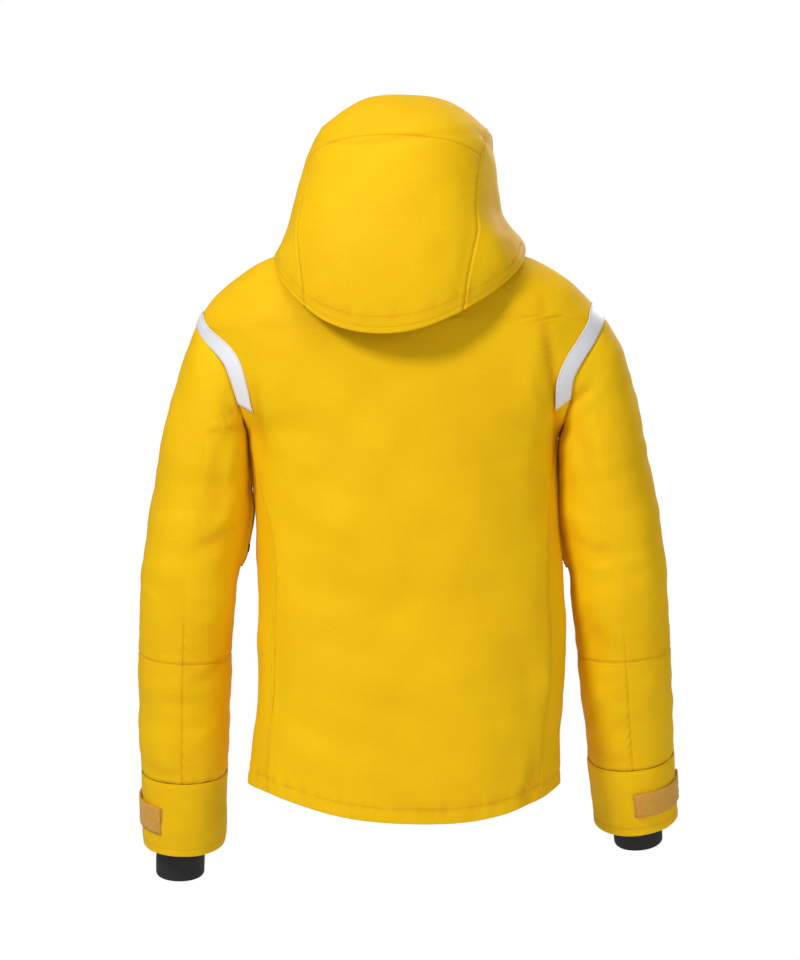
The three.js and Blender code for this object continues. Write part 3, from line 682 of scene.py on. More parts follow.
def fold(cloth, route, width, height, behind=True):
    """A ridge, or with a negative height a furrow, that runs along a route of x and z."""
    distance, share = beside(cloth.points, route)
    taper = np.sin(np.pi * np.clip(share * 0.92 + 0.04, 0, 1)) ** 0.7
    facing = cloth.normals()[..., 1] * (1 if behind else -1)
    amount = height * np.exp(-((distance / width) ** 2)) * taper * smoothstep(-0.15, 0.3, facing)
    cloth.push(amount, shows=False)
    # narrow folds also go into the relief, so the colour paints shade in their furrows and highlight on
    # their ridges
    cloth.shading_relief += 0.7 * amount * smoothstep(16, 5, width)


BACK_FOLDS = (  # route of x and z, width, height
    (((-174, -58), (-182, -122), (-191, -178), (-196, -230), (-192, -300)), 5.5, -3.4),
    (((-160, -150), (-168, -220), (-150, -300)), 16, 3.4),
    (((180, -150), (172, -205), (150, -270)), 16, 3.0),
    (((192, -175), (184, -230), (176, -270)), 7, -2.4),
    (((-185, -470), (-186, -530), (-178, -580)), 15, 3.6),
    (((-168, -650), (-160, -690), (-158, -722)), 8, -2.6),
    (((-176, -540), (-184, -548), (-186, -562)), 5, 2.2),
    (((150, -430), (20, -455), (-120, -440)), 26, -3.6),
    (((120, -530), (-10, -560), (-150, -520)), 30, 4.0),
    (((-30, -400), (-90, -480), (-170, -500)), 22, 3.4),
    (((170, -560), (120, -610), (40, -640)), 24, -3.4),
    (((-60, -560), (-110, -620), (-165, -640)), 18, 2.8),
    (((90, -140), (30, -170), (-60, -150)), 24, -2.4),
    (((150, -330), (80, -350), (0, -340)), 24, 2.4),
    (((60, -640), (10, -680), (-70, -690)), 20, 2.4),
)
FRONT_FOLDS = (
    (((180, -130), (170, -200), (150, -270)), 14, 2.4),
    (((188, -175), (178, -235), (160, -300)), 8, -2.0),
    (((30, -330), (80, -346), (150, -330)), 18, -2.2),
    (((60, -580), (120, -600), (180, -610)), 18, 2.2),
)
HAND_ZIP = ((124, -540), (121, -372))  # x and z of its ends
CHEST_ZIP = ((72, -245), (72, -125))


BAND_ROUTES = (  # x and z under the reflective bands
    ((262, -66), (244, -118), (222, -150), (204, -195)),
    ((-254, -60), (-228, -112), (-205, -150), (-198, -195)),
)


def stillness(cloth, edges, least, reach):
    """1 far from the edges and least at them."""
    still = np.ones(cloth.across.shape)
    distances = cloth.edge_distances()
    for edge in edges:
        still = still * (least + (1 - least) * smoothstep(0, reach, distances[edge]))
    return still


def relax_body(cloth, edges, flat=()):
    """Soft unevenness of wadded cloth that hangs, held still along its seams and some routes."""
    still = smoothstep(NECK, NECK - 60, cloth.points[..., 2]) * stillness(cloth, edges, 0.15, 40)
    for route in flat:
        still = still * smoothstep(12, 50, beside(cloth.points, route)[0])
    for height, wavelength, seed in ((2.2, 170, 3), (0.75, 75, 4), (0.16, 26, 6)):
        cloth.push(height * ripples(cloth.points, wavelength, seed) * still, shows=False)


def hem_seam(cloth):
    """The stitched line above a turned hem, and small puckers along it."""
    near = np.exp(-(((cloth.along - HEM_LINE) / 2.2) ** 2))
    wave = ripples(cloth.points, 15, 77, stretch=(1, 1, 0.1))
    band = np.exp(-(((cloth.along - HEM_LINE) / 9) ** 2))
    cloth.push(0.5 * wave * band - 0.9 * near)


def zip_edge(z):
    return -body_angle(ZIP_EDGE, z)


def add_body():
    back = Cloth(leaned(body_cloth(back_left, back_right, 84)))
    relax_body(back, (2, 3), BAND_ROUTES)
    for route, width, height in BACK_FOLDS:
        fold(back, route, width, height)
    hem_seam(back)
    back.seam((2, 3), depth=BODY_SEAM)
    sew("root", back, 0, HEM_LINE)
    back.tuck(2)
    back.tuck(3)
    back.turn(0, rows=5)
    add_cloth("back_cloth", back, "shell", "root", ["back_panel"])

    low = HEIGHTS[HEIGHTS <= ARMHOLE_LOW]
    for name, side in SIDES:
        flat = [[(side * x, z) for x, z in HAND_ZIP]] + [CHEST_ZIP] * (side == 1)
        front = Cloth(leaned(mirror(body_cloth(zip_edge, front_outer(side), 42), side)))
        relax_body(front, (2, 3), flat)
        for route, width, height in FRONT_FOLDS:
            fold(front, [(side * x, z) for x, z in route], width, height, behind=False)
        hem_seam(front)
        front.seam((3,), depth=BODY_SEAM)
        sew("root", front, 0, HEM_LINE)
        sew("root", front, 2, 7)
        front.tuck(3)
        front.turn(2, thick=2.4, rows=5)
        front.turn(0, rows=5)
        add_cloth(f"front_cloth_{name}", front, "shell", "root", [f"front_panel_{name}"])

        rows = body_cloth(gusset_front, side_back, 15, heights=low, side=side)
        gusset = Cloth(leaned(mirror(rows, side)))
        relax_body(gusset, (1, 2, 3))
        hem_seam(gusset)
        gusset.seam((2, 3), depth=BODY_SEAM)
        for edge in (2, 3):
            sew("root", gusset, edge, 4)
        for edge in (2, 3):
            gusset.tuck(edge)
        gusset.turn(0, rows=5)
        add_cloth(f"side_cloth_{name}", gusset, "shell", "root", [f"side_panel_{name}"])


# ---- lining, powder skirt and pockets inside the body ----
LINING_INSET = 13.5
FACING_EDGE = 24  # from the centre line to the lining's edge


def facing_edge(z):
    return -body_angle(FACING_EDGE, z)


def add_lining():
    """Smooth lining in panels like the shell's, and the powder skirt sewn to it."""
    low = HEIGHTS[HEIGHTS <= ARMHOLE_LOW]
    panels = [("lining_back", 1, back_left, back_right, 60, HEIGHTS)]
    for name, side in SIDES:
        panels.append((f"lining_front_{name}", side, facing_edge, front_outer(side), 26, HEIGHTS))
        panels.append((f"lining_side_{name}", side, gusset_front, side_back, 12, low))
    for index, (name, side, start, end, columns, heights) in enumerate(panels):
        rows = body_cloth(start, end, columns, LINING_INSET, heights, 22, side)
        cloth = Cloth(leaned(mirror(rows, side)), inward=True)
        cloth.push(0.7 * ripples(cloth.points, 60, 101 + index))
        cloth.seam((2, 3), depth=0.8)
        nodes = ["body_lining"] if index == 0 else []
        add_cloth(name, cloth, "lining", "root", nodes, thick=0.9)

    height = np.linspace(-575, -655, 18)[:, None]
    share = np.linspace(0, 1, 260)[None]
    angle = facing_edge(height) * (1 - share) + (180 - facing_edge(height)) * share
    pleats = 1.6 * smoothstep(-580, -640, height) * np.sin(share * 2 * math.pi * 46)
    skirt = Cloth(leaned(body_point(angle, height, 19.5 + pleats)), inward=True)
    band = np.exp(-(((height + 650) / 5) ** 2)) + 0 * share
    skirt.push(-0.5 * band)
    piece = add_cloth("powder_skirt_cloth", skirt, "lining", "root", ["powder_skirt"], thick=0.6)
    width = float(lengths(skirt.points[-1])[-1]) * MM

    for name, side in SIDES:
        angle = np.linspace(-77, -47, 26)[None]
        height = np.linspace(-372, -552, 30)[:, None]
        bag = Cloth(leaned(mirror(body_point(angle, height, 7.5), side)), inward=True)
        bag.push(0.6 * ripples(bag.points, 40, 111))
        add_cloth(f"pocket_cloth_{name}", bag, "lining", "root", [f"pocket_bag_{name}"], thick=1.0)


# ---- zips ----
def zip_frame(low, high, inward):
    """Turns places on a zip, with z up it and y into the jacket, into places in space."""
    low, high = np.array(low, float), np.array(high, float)
    up = unit(high - low)
    across = unit(np.cross(inward, up))
    axes = np.array([across, np.cross(up, across), up])

    def at(x, y, z):
        return low + stack(x, y, z) @ axes

    return at, float(np.linalg.norm(high - low)), axes


def ridge(line, out, offset, wide, high, step=4.0, pitch=0.0):
    """A low ridge that stands out from a line, as a zip's coil or a folded edge does."""
    run = lengths(line)
    places = np.linspace(0, run[-1], int(run[-1] / step) + 1)
    centre, up = (
        np.stack([np.interp(places, run, values[:, k]) for k in range(3)], axis=-1)
        for values in (line, out)
    )
    side = np.cross(unit(np.gradient(centre, axis=0)), unit(up))
    turn = np.linspace(-0.4, math.pi + 0.4, 10)
    swell = smoothstep(-2, 5, np.minimum(places, run[-1] - places))
    if pitch:
        swell = 0.84 + 0.16 * np.cos(2 * math.pi * places / pitch)
    centre = centre + side * offset
    rise = high * np.sin(turn)[None] * swell[:, None]
    points = centre[:, None] + side[:, None] * (wide * np.cos(turn))[None, :, None]
    return Cloth(points + unit(up)[:, None] * rise[..., None])


def add_teeth(name, at, side, places):
    """Moulded teeth along one edge of a zip, each with a head that hooks over the middle."""
    points, faces = [], []
    for z in places:
        base = len(points)
        for x, half in ((side * 3.4, 0.5), (side * 0.9, 0.45), (-side * 0.8, 0.68)):
            corners = ((2.7, -half), (2.7, half), (6.3, half), (6.3, -half))
            points += [at(x, y, z + rise) for y, rise in corners]
        for k in (0, 4):
            for i in range(4):
                j = (i + 1) % 4
                quad = (base + k + i, base + k + j, base + k + 4 + j, base + k + 4 + i)
                faces.append(quad if side < 0 else quad[::-1])
        ends = (base, base + 3, base + 2, base + 1), (base + 8, base + 9, base + 10, base + 11)
        faces += [end if side < 0 else end[::-1] for end in ends]
    piece = mesh_object(name, np.array(points), faces, looks["teeth"])
    piece.data.polygons.foreach_set("use_smooth", [False] * len(piece.data.polygons))
    finish_piece(piece, "root")


def add_main_zip():
    hem, top = HEM_FRONT, 62
    at, length, _ = zip_frame((0, -front_depth(hem), hem), (0, -front_depth(top), top), (0, 1, 0))
    for name, side in SIDES:
        x = side * np.linspace(1.0, 12, 8)[None]
        z = np.linspace(18, length - 4, 150)[:, None]
        tape = Cloth(at(x, 5.4, z))
        tape.push(0.12 * ripples(tape.points, 18, 121))
        add_cloth(f"zip_tape_{name}", tape, "tape", "root", [f"main_zip_{name}"], thick=0.7)
        start = 19 if side > 0 else 20.5
        add_teeth(f"zip_teeth_{name}", at, side, np.arange(start, length - 5, 3.0))
    x = np.linspace(-19, 19, 16)[None]
    z = np.linspace(8, length - 4, 150)[:, None]
    flap = Cloth(at(x, 11, z))
    flap.push(0.5 * ripples(flap.points, 45, 122))
    piece = add_cloth("storm_flap_cloth", flap, "lining", "root", ["storm_flap"], thick=1.2)


def add_coil_zip(name, line, out, body, nodes, folded=8.5):
    """A coil zip on a tape, between two folded edges of the shell."""
    tape_side = unit(np.cross(unit(np.gradient(line, axis=0)), out))
    across = np.linspace(-6, 6, 7)
    tape = Cloth(line[:, None] + tape_side[:, None] * across[None, :, None] + out[:, None] * 0.6)
    add_cloth(f"{name}_tape", tape, "tape", body, nodes, thick=0.6)
    raised = line + out * 0.7
    coil = ridge(raised, out, 0, 1.6, 1.2, step=0.4, pitch=1.6)
    add_cloth(f"{name}_coil", coil, "teeth", body)
    for kind, way in (("a", 1), ("b", -1)):
        lip = ridge(line - out * 1.2, out, way * folded, 3.3, 3.1)
        lip.push(0.12 * ripples(lip.points, 14, 131))
        add_cloth(f"{name}_lip_{kind}", lip, "shell", body)


def add_straight_zip(name, ends, inward, count):
    at, length, axes = zip_frame(*ends, inward)
    out = np.repeat(-axes[1][None], count, axis=0)
    add_coil_zip(name, at(0, 0, np.linspace(0, length, count)), out, "root", [name])


def add_pocket_zips():
    for name, side in SIDES:
        ends = [body_point(-55, z, 0.0) * (side, 1, 1) for z in (-540.0, -372.0)]
        near, far = (body_point(-55 + turn, -540.0) * (side, 1, 1) for turn in (-4, 4))
        inward = np.cross(far - near, (0, 0, -side))
        add_straight_zip(f"hand_zip_{name}", ends, inward, 40)
    ends = [body_point(-body_angle(72, z), float(z)) - (0, 0.8, 0) for z in (-245.0, -125.0)]
    add_straight_zip("chest_zip", ends, (-0.12, 1, 0), 30)


def add_vent(name, sleeve, angles):
    """The underarm vent's zip, on the side of the sleeve that faces the body."""
    column = int(np.argmin(np.abs(angles - 180)))
    height = sleeve.points[:, column, 2]
    rows = np.nonzero((height < -262) & (height > -410))[0]
    line, out = sleeve.points[rows, column], sleeve.normals()[rows, column]
    add_coil_zip(f"vent_zip_{name}", line + out * 0.3, out, f"arm_{name}", [f"vent_zip_{name}"], 7.5)
    start = int(np.argmin(np.abs(line[:, 2] + 386)))
    u = np.linspace(-math.pi / 2, math.pi / 2, 11)[:, None]
    v = np.linspace(0, 2 * math.pi, 21)[None]
    up = unit(line[start - 1] - line[start + 1])
    across = unit(np.cross(up, out[start]))
    x = 3.5 * power(np.cos(u), 0.4) * power(np.cos(v), 0.5) * (1 - 0.12 * np.cos(2 * u))
    y = 1.0 * power(np.cos(u), 0.4) * power(np.sin(v), 0.5)
    z = 5.5 * power(np.sin(u), 0.6)
    points = line[start] + out[start] * 2.6 + stack(x, y, z) @ np.array([across, out[start], up])
    slider = Cloth(points, closed=True)
    nodes = [f"vent_zip_slider_{name}"]
    add_cloth(f"vent_slider_{name}", slider, "metal", f"vent_slider_{name}", nodes)


# ---- hem cord, label and hanger loop ----
def tube(line, radius, sides=12, strands=0, pitch=8.0):
    """A round tube along a line, ribbed by strands that wind round it."""
    run = lengths(line)
    along = unit(np.gradient(line, axis=0))
    side = unit(np.cross(along, (0.1, 0.2, 1.0)))
    up = np.cross(side, along)
    turn = np.linspace(0, 2 * math.pi, sides + 1)[None]
    twist = run[:, None] * 2 * math.pi / pitch
    rib = np.cos(strands * turn / 2 + twist) * np.cos(strands * turn / 2 - twist)
    grow = radius * (1 + 0.07 * rib)
    x, y = grow * np.cos(turn), grow * np.sin(turn)
    ring = side[:, None] * x[..., None] + up[:, None] * y[..., None]
    return Cloth(line[:, None] + ring, closed=True)


def add_small_parts():
    angle = np.linspace(-70, 250, 700)
    line = body_point(angle, hem_height(angle) + 12, 8.0)
    add_cloth("hem_cord_braid", tube(leaned(line), 1.45, 16, 4), "cord", "root", ["hem_cord"])
    x = np.linspace(-18, 18, 24)[None]
    z = np.linspace(19, 39, 14)[:, None]
    label = Cloth(stack(x, 57 - 0.0025 * x**2, z), inward=True)
    edge = np.minimum(np.minimum(18 - np.abs(x), z - 19), 39 - z)
    label.push(0.3 * np.exp(-((edge / 1.2) ** 2)))
    add_cloth("label_cloth", label, "lining", "root", ["neck_label"], thick=0.5)
    loop = []
    for quarter, middle in enumerate(((20, 54.5), (-20, 54.5), (-20, 48.5), (20, 48.5))):
        turn = np.linspace(0, math.pi / 2, 6) + quarter * math.pi / 2
        loop += list(middle + 2.6 * stack(np.cos(turn), np.sin(turn)))
    loop = np.array(loop + loop[:1])[:, None]
    strap = Cloth(stack(loop[..., 0], np.linspace(49.2, 53.8, 6)[None], loop[..., 1]))
    add_cloth("hanger_cloth", strap, "lining", "root", ["hanger_loop"], thick=1.3)

    rigid = {
        "metal": ["main_zip_slider", "main_zip_pull", "chest_zip_slider", "chest_zip_pull"],
        "plastic": ["main_zip_bottom_box"],
    }
    for name, _ in SIDES:
        rigid["metal"] += [f"hand_zip_{name}_slider", f"hand_zip_{name}_pull"]
        rigid["plastic"] += [f"hem_cord_lock_{name}", f"hood_cord_lock_{name}"]
    for look, nodes in rigid.items():
        for node in nodes:
            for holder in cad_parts[node].material_slots:
                holder.material = looks[look]


# ---- sleeves ----
ROUND = 48  # columns round a sleeve
CAP_ROWS = 46
SLEEVE_OUTER = (  # x and z
    (255, -79), (265, -91), (276, -116), (285, -142), (300, -193), (316, -271), (328, -335)
)
SLEEVE_INNER = ((199.5, -246), (198, -262), (197.5, -295), (201, -335))
ELBOW = np.array((276, 0, -415.0))
CUFF_START = 0.81  # along the forearm, from elbow to wrist
ARMS = {  # the tab's angles are those of its free end, in front, and its sewn end
    "left": {
        "side": 1, "bend": (283, 0, -500), "wrist": (286, -93, -768), "out": 2, "gaiter": 46,
        "tab": (-42, 62), "vent": 6.5, "hang": 6,
    },
    "right": {
        "side": -1, "bend": (277, 0, -500), "wrist": (301, -97, -738), "out": 4, "gaiter": 34,
        "tab": (-14, 90), "vent": 5.0, "hang": 1,
    },
}
ELBOW_SEAM = 0.42  # along the forearm too


def path(points):
    """A smooth line through points of x and z, by the share of its length."""
    points = np.array([(x, 0, z) for x, z in points], float)
    run = lengths(points)
    return [curve(run / run[-1], points[:, k]) for k in (0, 2)]


def armhole_loop(angles, side):
    """Points of the armhole: 0 degrees is its top, 90 the back and 180 the underarm."""
    z = np.linspace(ARMHOLE_TOP[side], ARMHOLE_LOW, 200)
    loops = []
    for behind in (1, -1):
        seam = body_point(behind * body_angle(ARMHOLES[side](z), z), z)
        under = body_point(behind * np.linspace(UNDERARM, 0, 12), np.full(12, float(ARMHOLE_LOW)))
        loops.append(np.concatenate([seam, under[1:]]))
    result = []
    for angle in angles % 360:
        half = loops[0] if angle <= 180 else loops[1]
        share = angle / 180 if angle <= 180 else (360 - angle) / 180
        run = lengths(half)
        result.append([np.interp(share * run[-1], run, half[:, k]) for k in range(3)])
    return np.array(result)


def cap_points(angles, side):
    """The upper sleeve, from the armhole to a level above the elbow."""
    t = fine_ends(CAP_ROWS, 250, high=False)
    outer, inner = path(SLEEVE_OUTER), path(SLEEVE_INNER)
    top = stack(outer[0](t), 0, outer[1](t))[:, None]
    low = stack(inner[0](t), 0, inner[1](t))[:, None]
    depth = curve((0, 0.3, 0.6, 1), (77, 80, 79, 75))(t)[:, None]
    c, s = np.cos(np.radians(angles)), np.sin(np.radians(angles))
    ring = (top + low) / 2 + (top - low) / 2 * power(c, 0.94)[None, :, None]
    ring = ring + (depth * power(s, 0.94))[..., None] * (0, 1, 0)
    share = smoothstep(0, 0.24, t)[:, None, None]
    return armhole_loop(angles, side)[None] * (1 - share) + ring * share


def arm_line(arm):
    """Centres, half widths and half depths from above the elbow to the wrist, by length."""
    bend, wrist = np.array(arm["bend"], float), np.array(arm["wrist"], float)

    def forearm(t):
        past = max(0.0, t - 1)
        t = min(t, 1)
        place = (1 - t) ** 2 * ELBOW + 2 * t * (1 - t) * bend + t * t * wrist
        return place + unit(wrist - bend) * past * 370

    shares = (0.0, 0.1, 0.2, 0.35, 0.5, 0.65, 0.8, 0.9, 1.0, 1.14)
    keys = [np.array((264.5, 0, -335.0)), np.array((269.5, 0, -375.0))]
    keys += [forearm(t) + (arm["out"] * smoothstep(0, 0.5, t), 0, 0) for t in shares]
    wide = [63.5, 62.8, 62.3, 62, 61.6, 60.8, 60.2, 59.4, 57, 55.2, 54.2, 53.5]
    deep = [75, 72.5] + [69.5 - 13 * t for t in shares]
    run = lengths(np.array(keys))
    place = [curve(run, [key[k] for key in keys]) for k in range(3)]
    length_at = curve(shares, run[2:])
    return place, curve(run, wide), curve(run, deep), length_at


def arm_points(arm, places, angles, inset=0.0):
    """Rings round the arm at places along it. 0 degrees is the outer side, 90 the back."""
    place, wide, deep, _ = arm_line(arm)
    places = np.asarray(places, float)[:, None] + 0 * angles
    centre = stack(*[axis(places) for axis in place])
    step = stack(*[axis(places + 2) - axis(places - 2) for axis in place])
    level = smoothstep(0, 90, places)[..., None]
    along = unit(unit(step) * level + (1 - level) * (0, 0, -1))
    across = unit((1, 0, 0) - along * along[..., :1])
    back = np.cross(across, along)
    c, s = power(np.cos(np.radians(angles)), 0.94), power(np.sin(np.radians(angles)), 0.94)
    wide, deep = wide(places) - inset, deep(places) - inset
    return centre + across * (wide * c)[..., None] + back * (deep * s)[..., None]


def sleeve_relief(cloth, seed, still=1.0):
    """Soft unevenness of a wadded sleeve, with more small folds across than along it."""
    for height, wavelength, stretch in ((0.8, 110, 1.5), (0.3, 55, 1.8), (0.12, 24, 1.6)):
        wave = ripples(cloth.points, wavelength, seed + wavelength, stretch=(0.8, 0.8, stretch))
        cloth.push(height * wave * still, shows=False)


SLEEVE_FOLDS = {  # route of x and z, width, height
    "left": (
        (((206, -205), (222, -212), (240, -222)), 4, -2.4),
        (((206, -216), (226, -222), (246, -226)), 3.5, 1.6),
        (((205, -228), (228, -234), (250, -238)), 4, -2.0),
        (((204, -240), (220, -262), (222, -300)), 9, 4.0),
        (((222, -240), (238, -290), (240, -340)), 11, -3.0),
        (((210, -300), (226, -345), (236, -372)), 8, 3.0),
        (((216, -352), (240, -372), (262, -380)), 7, -2.6),
        (((218, -384), (244, -398), (268, -396)), 8, 2.4),
        (((300, -200), (292, -260), (300, -330)), 18, 2.2),
        (((330, -420), (306, -440), (286, -436)), 10, -1.8),
        (((222, -440), (240, -470), (262, -486)), 9, 2.2),
        (((228, -520), (248, -548), (276, -560)), 9, -1.8),
        (((334, -560), (312, -590), (296, -600)), 9, 1.8),
        (((230, -600), (252, -624), (270, -630)), 8, 1.6),
        (((336, -660), (314, -676), (296, -676)), 7, -1.6),
    ),
    "right": (
        (((-197, -205), (-214, -196), (-240, -174)), 4.5, -3.2),
        (((-200, -222), (-222, -210), (-250, -186)), 7, 2.6),
        (((-200, -240), (-216, -262), (-224, -296)), 9, 3.2),
        (((-216, -226), (-232, -262), (-240, -310)), 10, -2.2),
        (((-206, -330), (-224, -352), (-240, -392)), 9, 3.0),
        (((-214, -366), (-240, -384), (-262, -388)), 7, -2.4),
        (((-218, -400), (-246, -412), (-270, -408)), 8, 2.2),
        (((-322, -330), (-306, -380), (-312, -430)), 16, 2.0),
        (((-228, -470), (-250, -500), (-270, -520)), 10, -2.0),
        (((-236, -560), (-262, -590), (-290, -596)), 10, 1.8),
        (((-344, -520), (-322, -560), (-308, -590)), 12, 2.0),
        (((-240, -640), (-266, -660), (-290, -660)), 8, -1.6),
    ),
}


def back_seam(cloth, angles, first, seed):
    """A seam down the middle of the lower sleeve's back, puckered on its outer side."""
    middle = int(np.argmin(np.abs(angles - 90)))
    distance = cloth.across - cloth.across[:, middle : middle + 1]
    below = smoothstep(-90, -10, cloth.along - cloth.along[first])
    chance = np.random.default_rng(seed)
    wave = sum(
        np.sin(cloth.along * 2 * math.pi / (11 * chance.uniform(0.7, 1.7)) + chance.uniform(0, 6))
        for _ in range(4)
    )
    outer = np.where(distance < 0, np.exp(distance / 20), np.exp(-distance / 7))
    line = np.exp(-((distance / 2.0) ** 2))
    cloth.push((0.28 * wave * outer * smoothstep(0, 2, np.abs(distance)) - 1.1 * line) * below)


def sleeve_angles():
    """Columns round a sleeve, closer together beside the seam at the back."""
    near = (84, 86.4, 88.2, 89.2, 90, 90.8, 91.8, 93.6, 96)
    rest = np.linspace(96, 444, ROUND)
    return np.concatenate([np.array(near)[4:], rest[1:], np.array(near)[1:5] + 360])


def add_sleeves():
    angles = sleeve_angles()
    for index, (name, arm) in enumerate(ARMS.items()):
        side = arm["side"]
        upper, fore = f"arm_{name}", f"forearm_{name}"
        place, _, _, length_at = arm_line(arm)

        seam_at, cuff_at = float(length_at(ELBOW_SEAM)), float(length_at(CUFF_START))
        upper_rows = np.linspace(0, 1, 56)[1:] * seam_at
        upper_rows = np.concatenate([upper_rows[:-1], seam_at - np.array((3.6, 2, 0.9, 0))])
        upper_rows = np.unique(np.round(upper_rows, 3))
        lower_rows = seam_at + fine_ends(52, cuff_at - seam_at)[1:] * (cuff_at - seam_at)
        cap_rows = cap_points(angles, side)
        arm_rows = arm_points(arm, np.concatenate([upper_rows, lower_rows]), angles)
        rows = leaned(mirror(np.concatenate([cap_rows, arm_rows]), side), arm_lean)
        sleeve = Cloth(rows, closed=True)
        join = len(cap_rows) - 1
        seam_row = join + len(upper_rows)
        sleeve_relief(sleeve, 31 + index, smoothstep(0, 40, sleeve.along))
        for route, width, height in SLEEVE_FOLDS[name]:
            fold(sleeve, route, width, height)
        back_seam(sleeve, angles, seam_row, 51 + index)
        inner = sleeve.across - sleeve.across[:, [int(np.argmin(np.abs(angles - 180)))]]
        height = sleeve.points[..., 2]
        bulge = smoothstep(-300, -345, height) * smoothstep(-425, -385, height)
        sleeve.push(arm["vent"] * bulge * np.exp(-((inner / 22) ** 2)), shows=False)
        for row in (seam_row, len(rows) - 1):
            distance = np.abs(sleeve.along - sleeve.along[row])
            wave = ripples(sleeve.points, 13, 57 + index, stretch=(1, 1, 0.2))
            sleeve.push(0.3 * wave * np.exp(-distance / 9) - 1.2 * np.exp(-((distance / 2) ** 2)))

        cap = sleeve.part(0, join)
        cap.pucker(0, 0.3, 12, 9, 41 + index)
        cap.seam((0,), depth=0.7)
        weight = smoothstep(0.04, 0.8, cap.along / cap.along[-1:])
        sew(upper, sleeve.part(join, seam_row), 1, 4)
        piece = cloth_object(f"sleeve_cap_{name}", cap, looks["shell"])
        finish_piece(piece, None, [f"upper_sleeve_{name}"])
        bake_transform(piece)

        elbow = sleeve.part(join, seam_row)
        piece = cloth_object(f"sleeve_elbow_{name}", elbow, looks["shell"])
        finish_piece(piece, None, [])
        start, end = (
            tuple(float(way * axis(at)) * MM for way, axis in zip((side, 1, 1), place))
            for at in (5, seam_at - 15)
        )
        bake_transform(piece)

        add_vent(name, sleeve, angles)

        lower = sleeve.part(seam_row, len(rows) - 1)
        sew(fore, lower, 0, 4)
        sew(fore, lower, 1, 4)
        add_cloth(f"sleeve_lower_{name}", lower, "shell", fore, [f"lower_sleeve_{name}"])

        wrist = float(length_at(1.0))
        places = cuff_at + fine_ends(18, wrist - cuff_at, high=False) * (wrist - cuff_at)
        cuff = Cloth(mirror(arm_points(arm, places, angles, -0.4), side), closed=True)
        sleeve_relief(cuff, 31 + index)
        cuff.seam((0,), depth=0.7)
        hemline = np.exp(-(((cuff.along[-1:] - cuff.along - 9) / 2) ** 2))
        cuff.push(-0.8 * hemline)
        sew(fore, cuff, 1, 9)
        cuff.turn(1, thick=3.2, rows=6)
        add_cloth(f"cuff_cloth_{name}", cuff, "shell", fore, [f"cuff_{name}"])

        add_tab(name, arm, length_at)
        add_gaiter(name, arm, length_at)


def add_tab(name, arm, length_at):
    """Hook-and-loop tab round the cuff, and the loop patch under it."""
    low, high = float(length_at(0.88)), float(length_at(0.945))
    start, end = arm["tab"]
    for kind, rise, spread, thick, body, node in (
        ("patch", 1.4, (-20, 2), 0.7, f"forearm_{name}", f"loop_patch_{name}"),
        ("tab", 3.6, (0, 0), 1.6, f"tab_{name}", f"cuff_tab_{name}"),
    ):
        around = np.linspace(start + spread[0], end + spread[1], 46)
        down = np.linspace(low, high, 9)
        points = arm_points(arm, down, around, -rise)
        if kind == "tab":
            corner = np.clip((4 - np.arange(46)) / 4, 0, 1) ** 2
            middle = points.mean(axis=0, keepdims=True)
            pull = 0.35 * corner[None, :, None]
            points = points * (1 - pull) + middle * pull
        cloth = Cloth(mirror(points, arm["side"]))
        cloth.push(0.25 * ripples(cloth.points, 9, 5))
        add_cloth(f"{kind}_cloth_{name}", cloth, "hooks", body, [node], thick=thick)


def add_gaiter(name, arm, length_at):
    """Ribbed knit tube that shows below the cuff."""
    angles = np.linspace(0, 360, 241)
    low, high = float(length_at(0.86)), float(length_at(1.0)) + arm["gaiter"]
    places = np.concatenate([np.linspace(low, high - 4, 26), [high - 2.5, high - 1, high]])
    narrow = smoothstep(low, float(length_at(1.03)), places)[:, None] * 15
    inset = 7 + narrow + 0.25 * np.cos(np.radians(angles) * 60)[None]
    points = arm_points(arm, places, angles, inset)
    points[..., 0] += arm["hang"] * smoothstep(low, high, places)[:, None]
    cloth = Cloth(mirror(points, arm["side"]), closed=True)
    cloth.turn(1, thick=2.4, rows=8)
    add_cloth(f"gaiter_cloth_{name}", cloth, "knit", f"forearm_{name}", [f"wrist_gaiter_{name}"])


# ---- reflective bands ----
BAND_WIDTH = 20
BAND_RISE = 1.9  # above the body
BAND_SMOOTHING = 90  # passes that even out the direction of the band


def add_bands():
    """A band lies along the inner side of the armhole, from the back over to the front."""
    for name, side in SIDES:
        angles = np.linspace(-52, 112 if side > 0 else 108, 70)
        loop = armhole_loop(angles, side)
        tangent = np.gradient(loop, axis=0)
        for _ in range(BAND_SMOOTHING):
            tangent[1:-1] = (tangent[:-2] + 2 * tangent[1:-1] + tangent[2:]) / 4
        inward = unit(np.cross(unit(loop * (1, 1, 0)), unit(tangent)))
        width = np.concatenate([[0.8], np.linspace(1.4, BAND_WIDTH - 0.6, 9), [BAND_WIDTH]])
        # the lower end is cut at a slant
        slant = np.linspace(0, 1, len(angles))[:, None] ** 6 * 9 * width[None] / BAND_WIDTH
        flat = loop[:, None] + inward[:, None] * width[None, :, None]
        flat = flat + unit(tangent)[:, None] * slant[..., None]
        cloth = Cloth(leaned(mirror(onto_body(flat), side)))
        cloth.push(np.full(cloth.across.shape, BAND_RISE), shows=False)
        for edge in (2, 3):
            sew("root", cloth, edge, 1.6)
        add_cloth(f"band_cloth_{name}", cloth, "silver", "root", [f"shoulder_band_{name}"], thick=0.9)


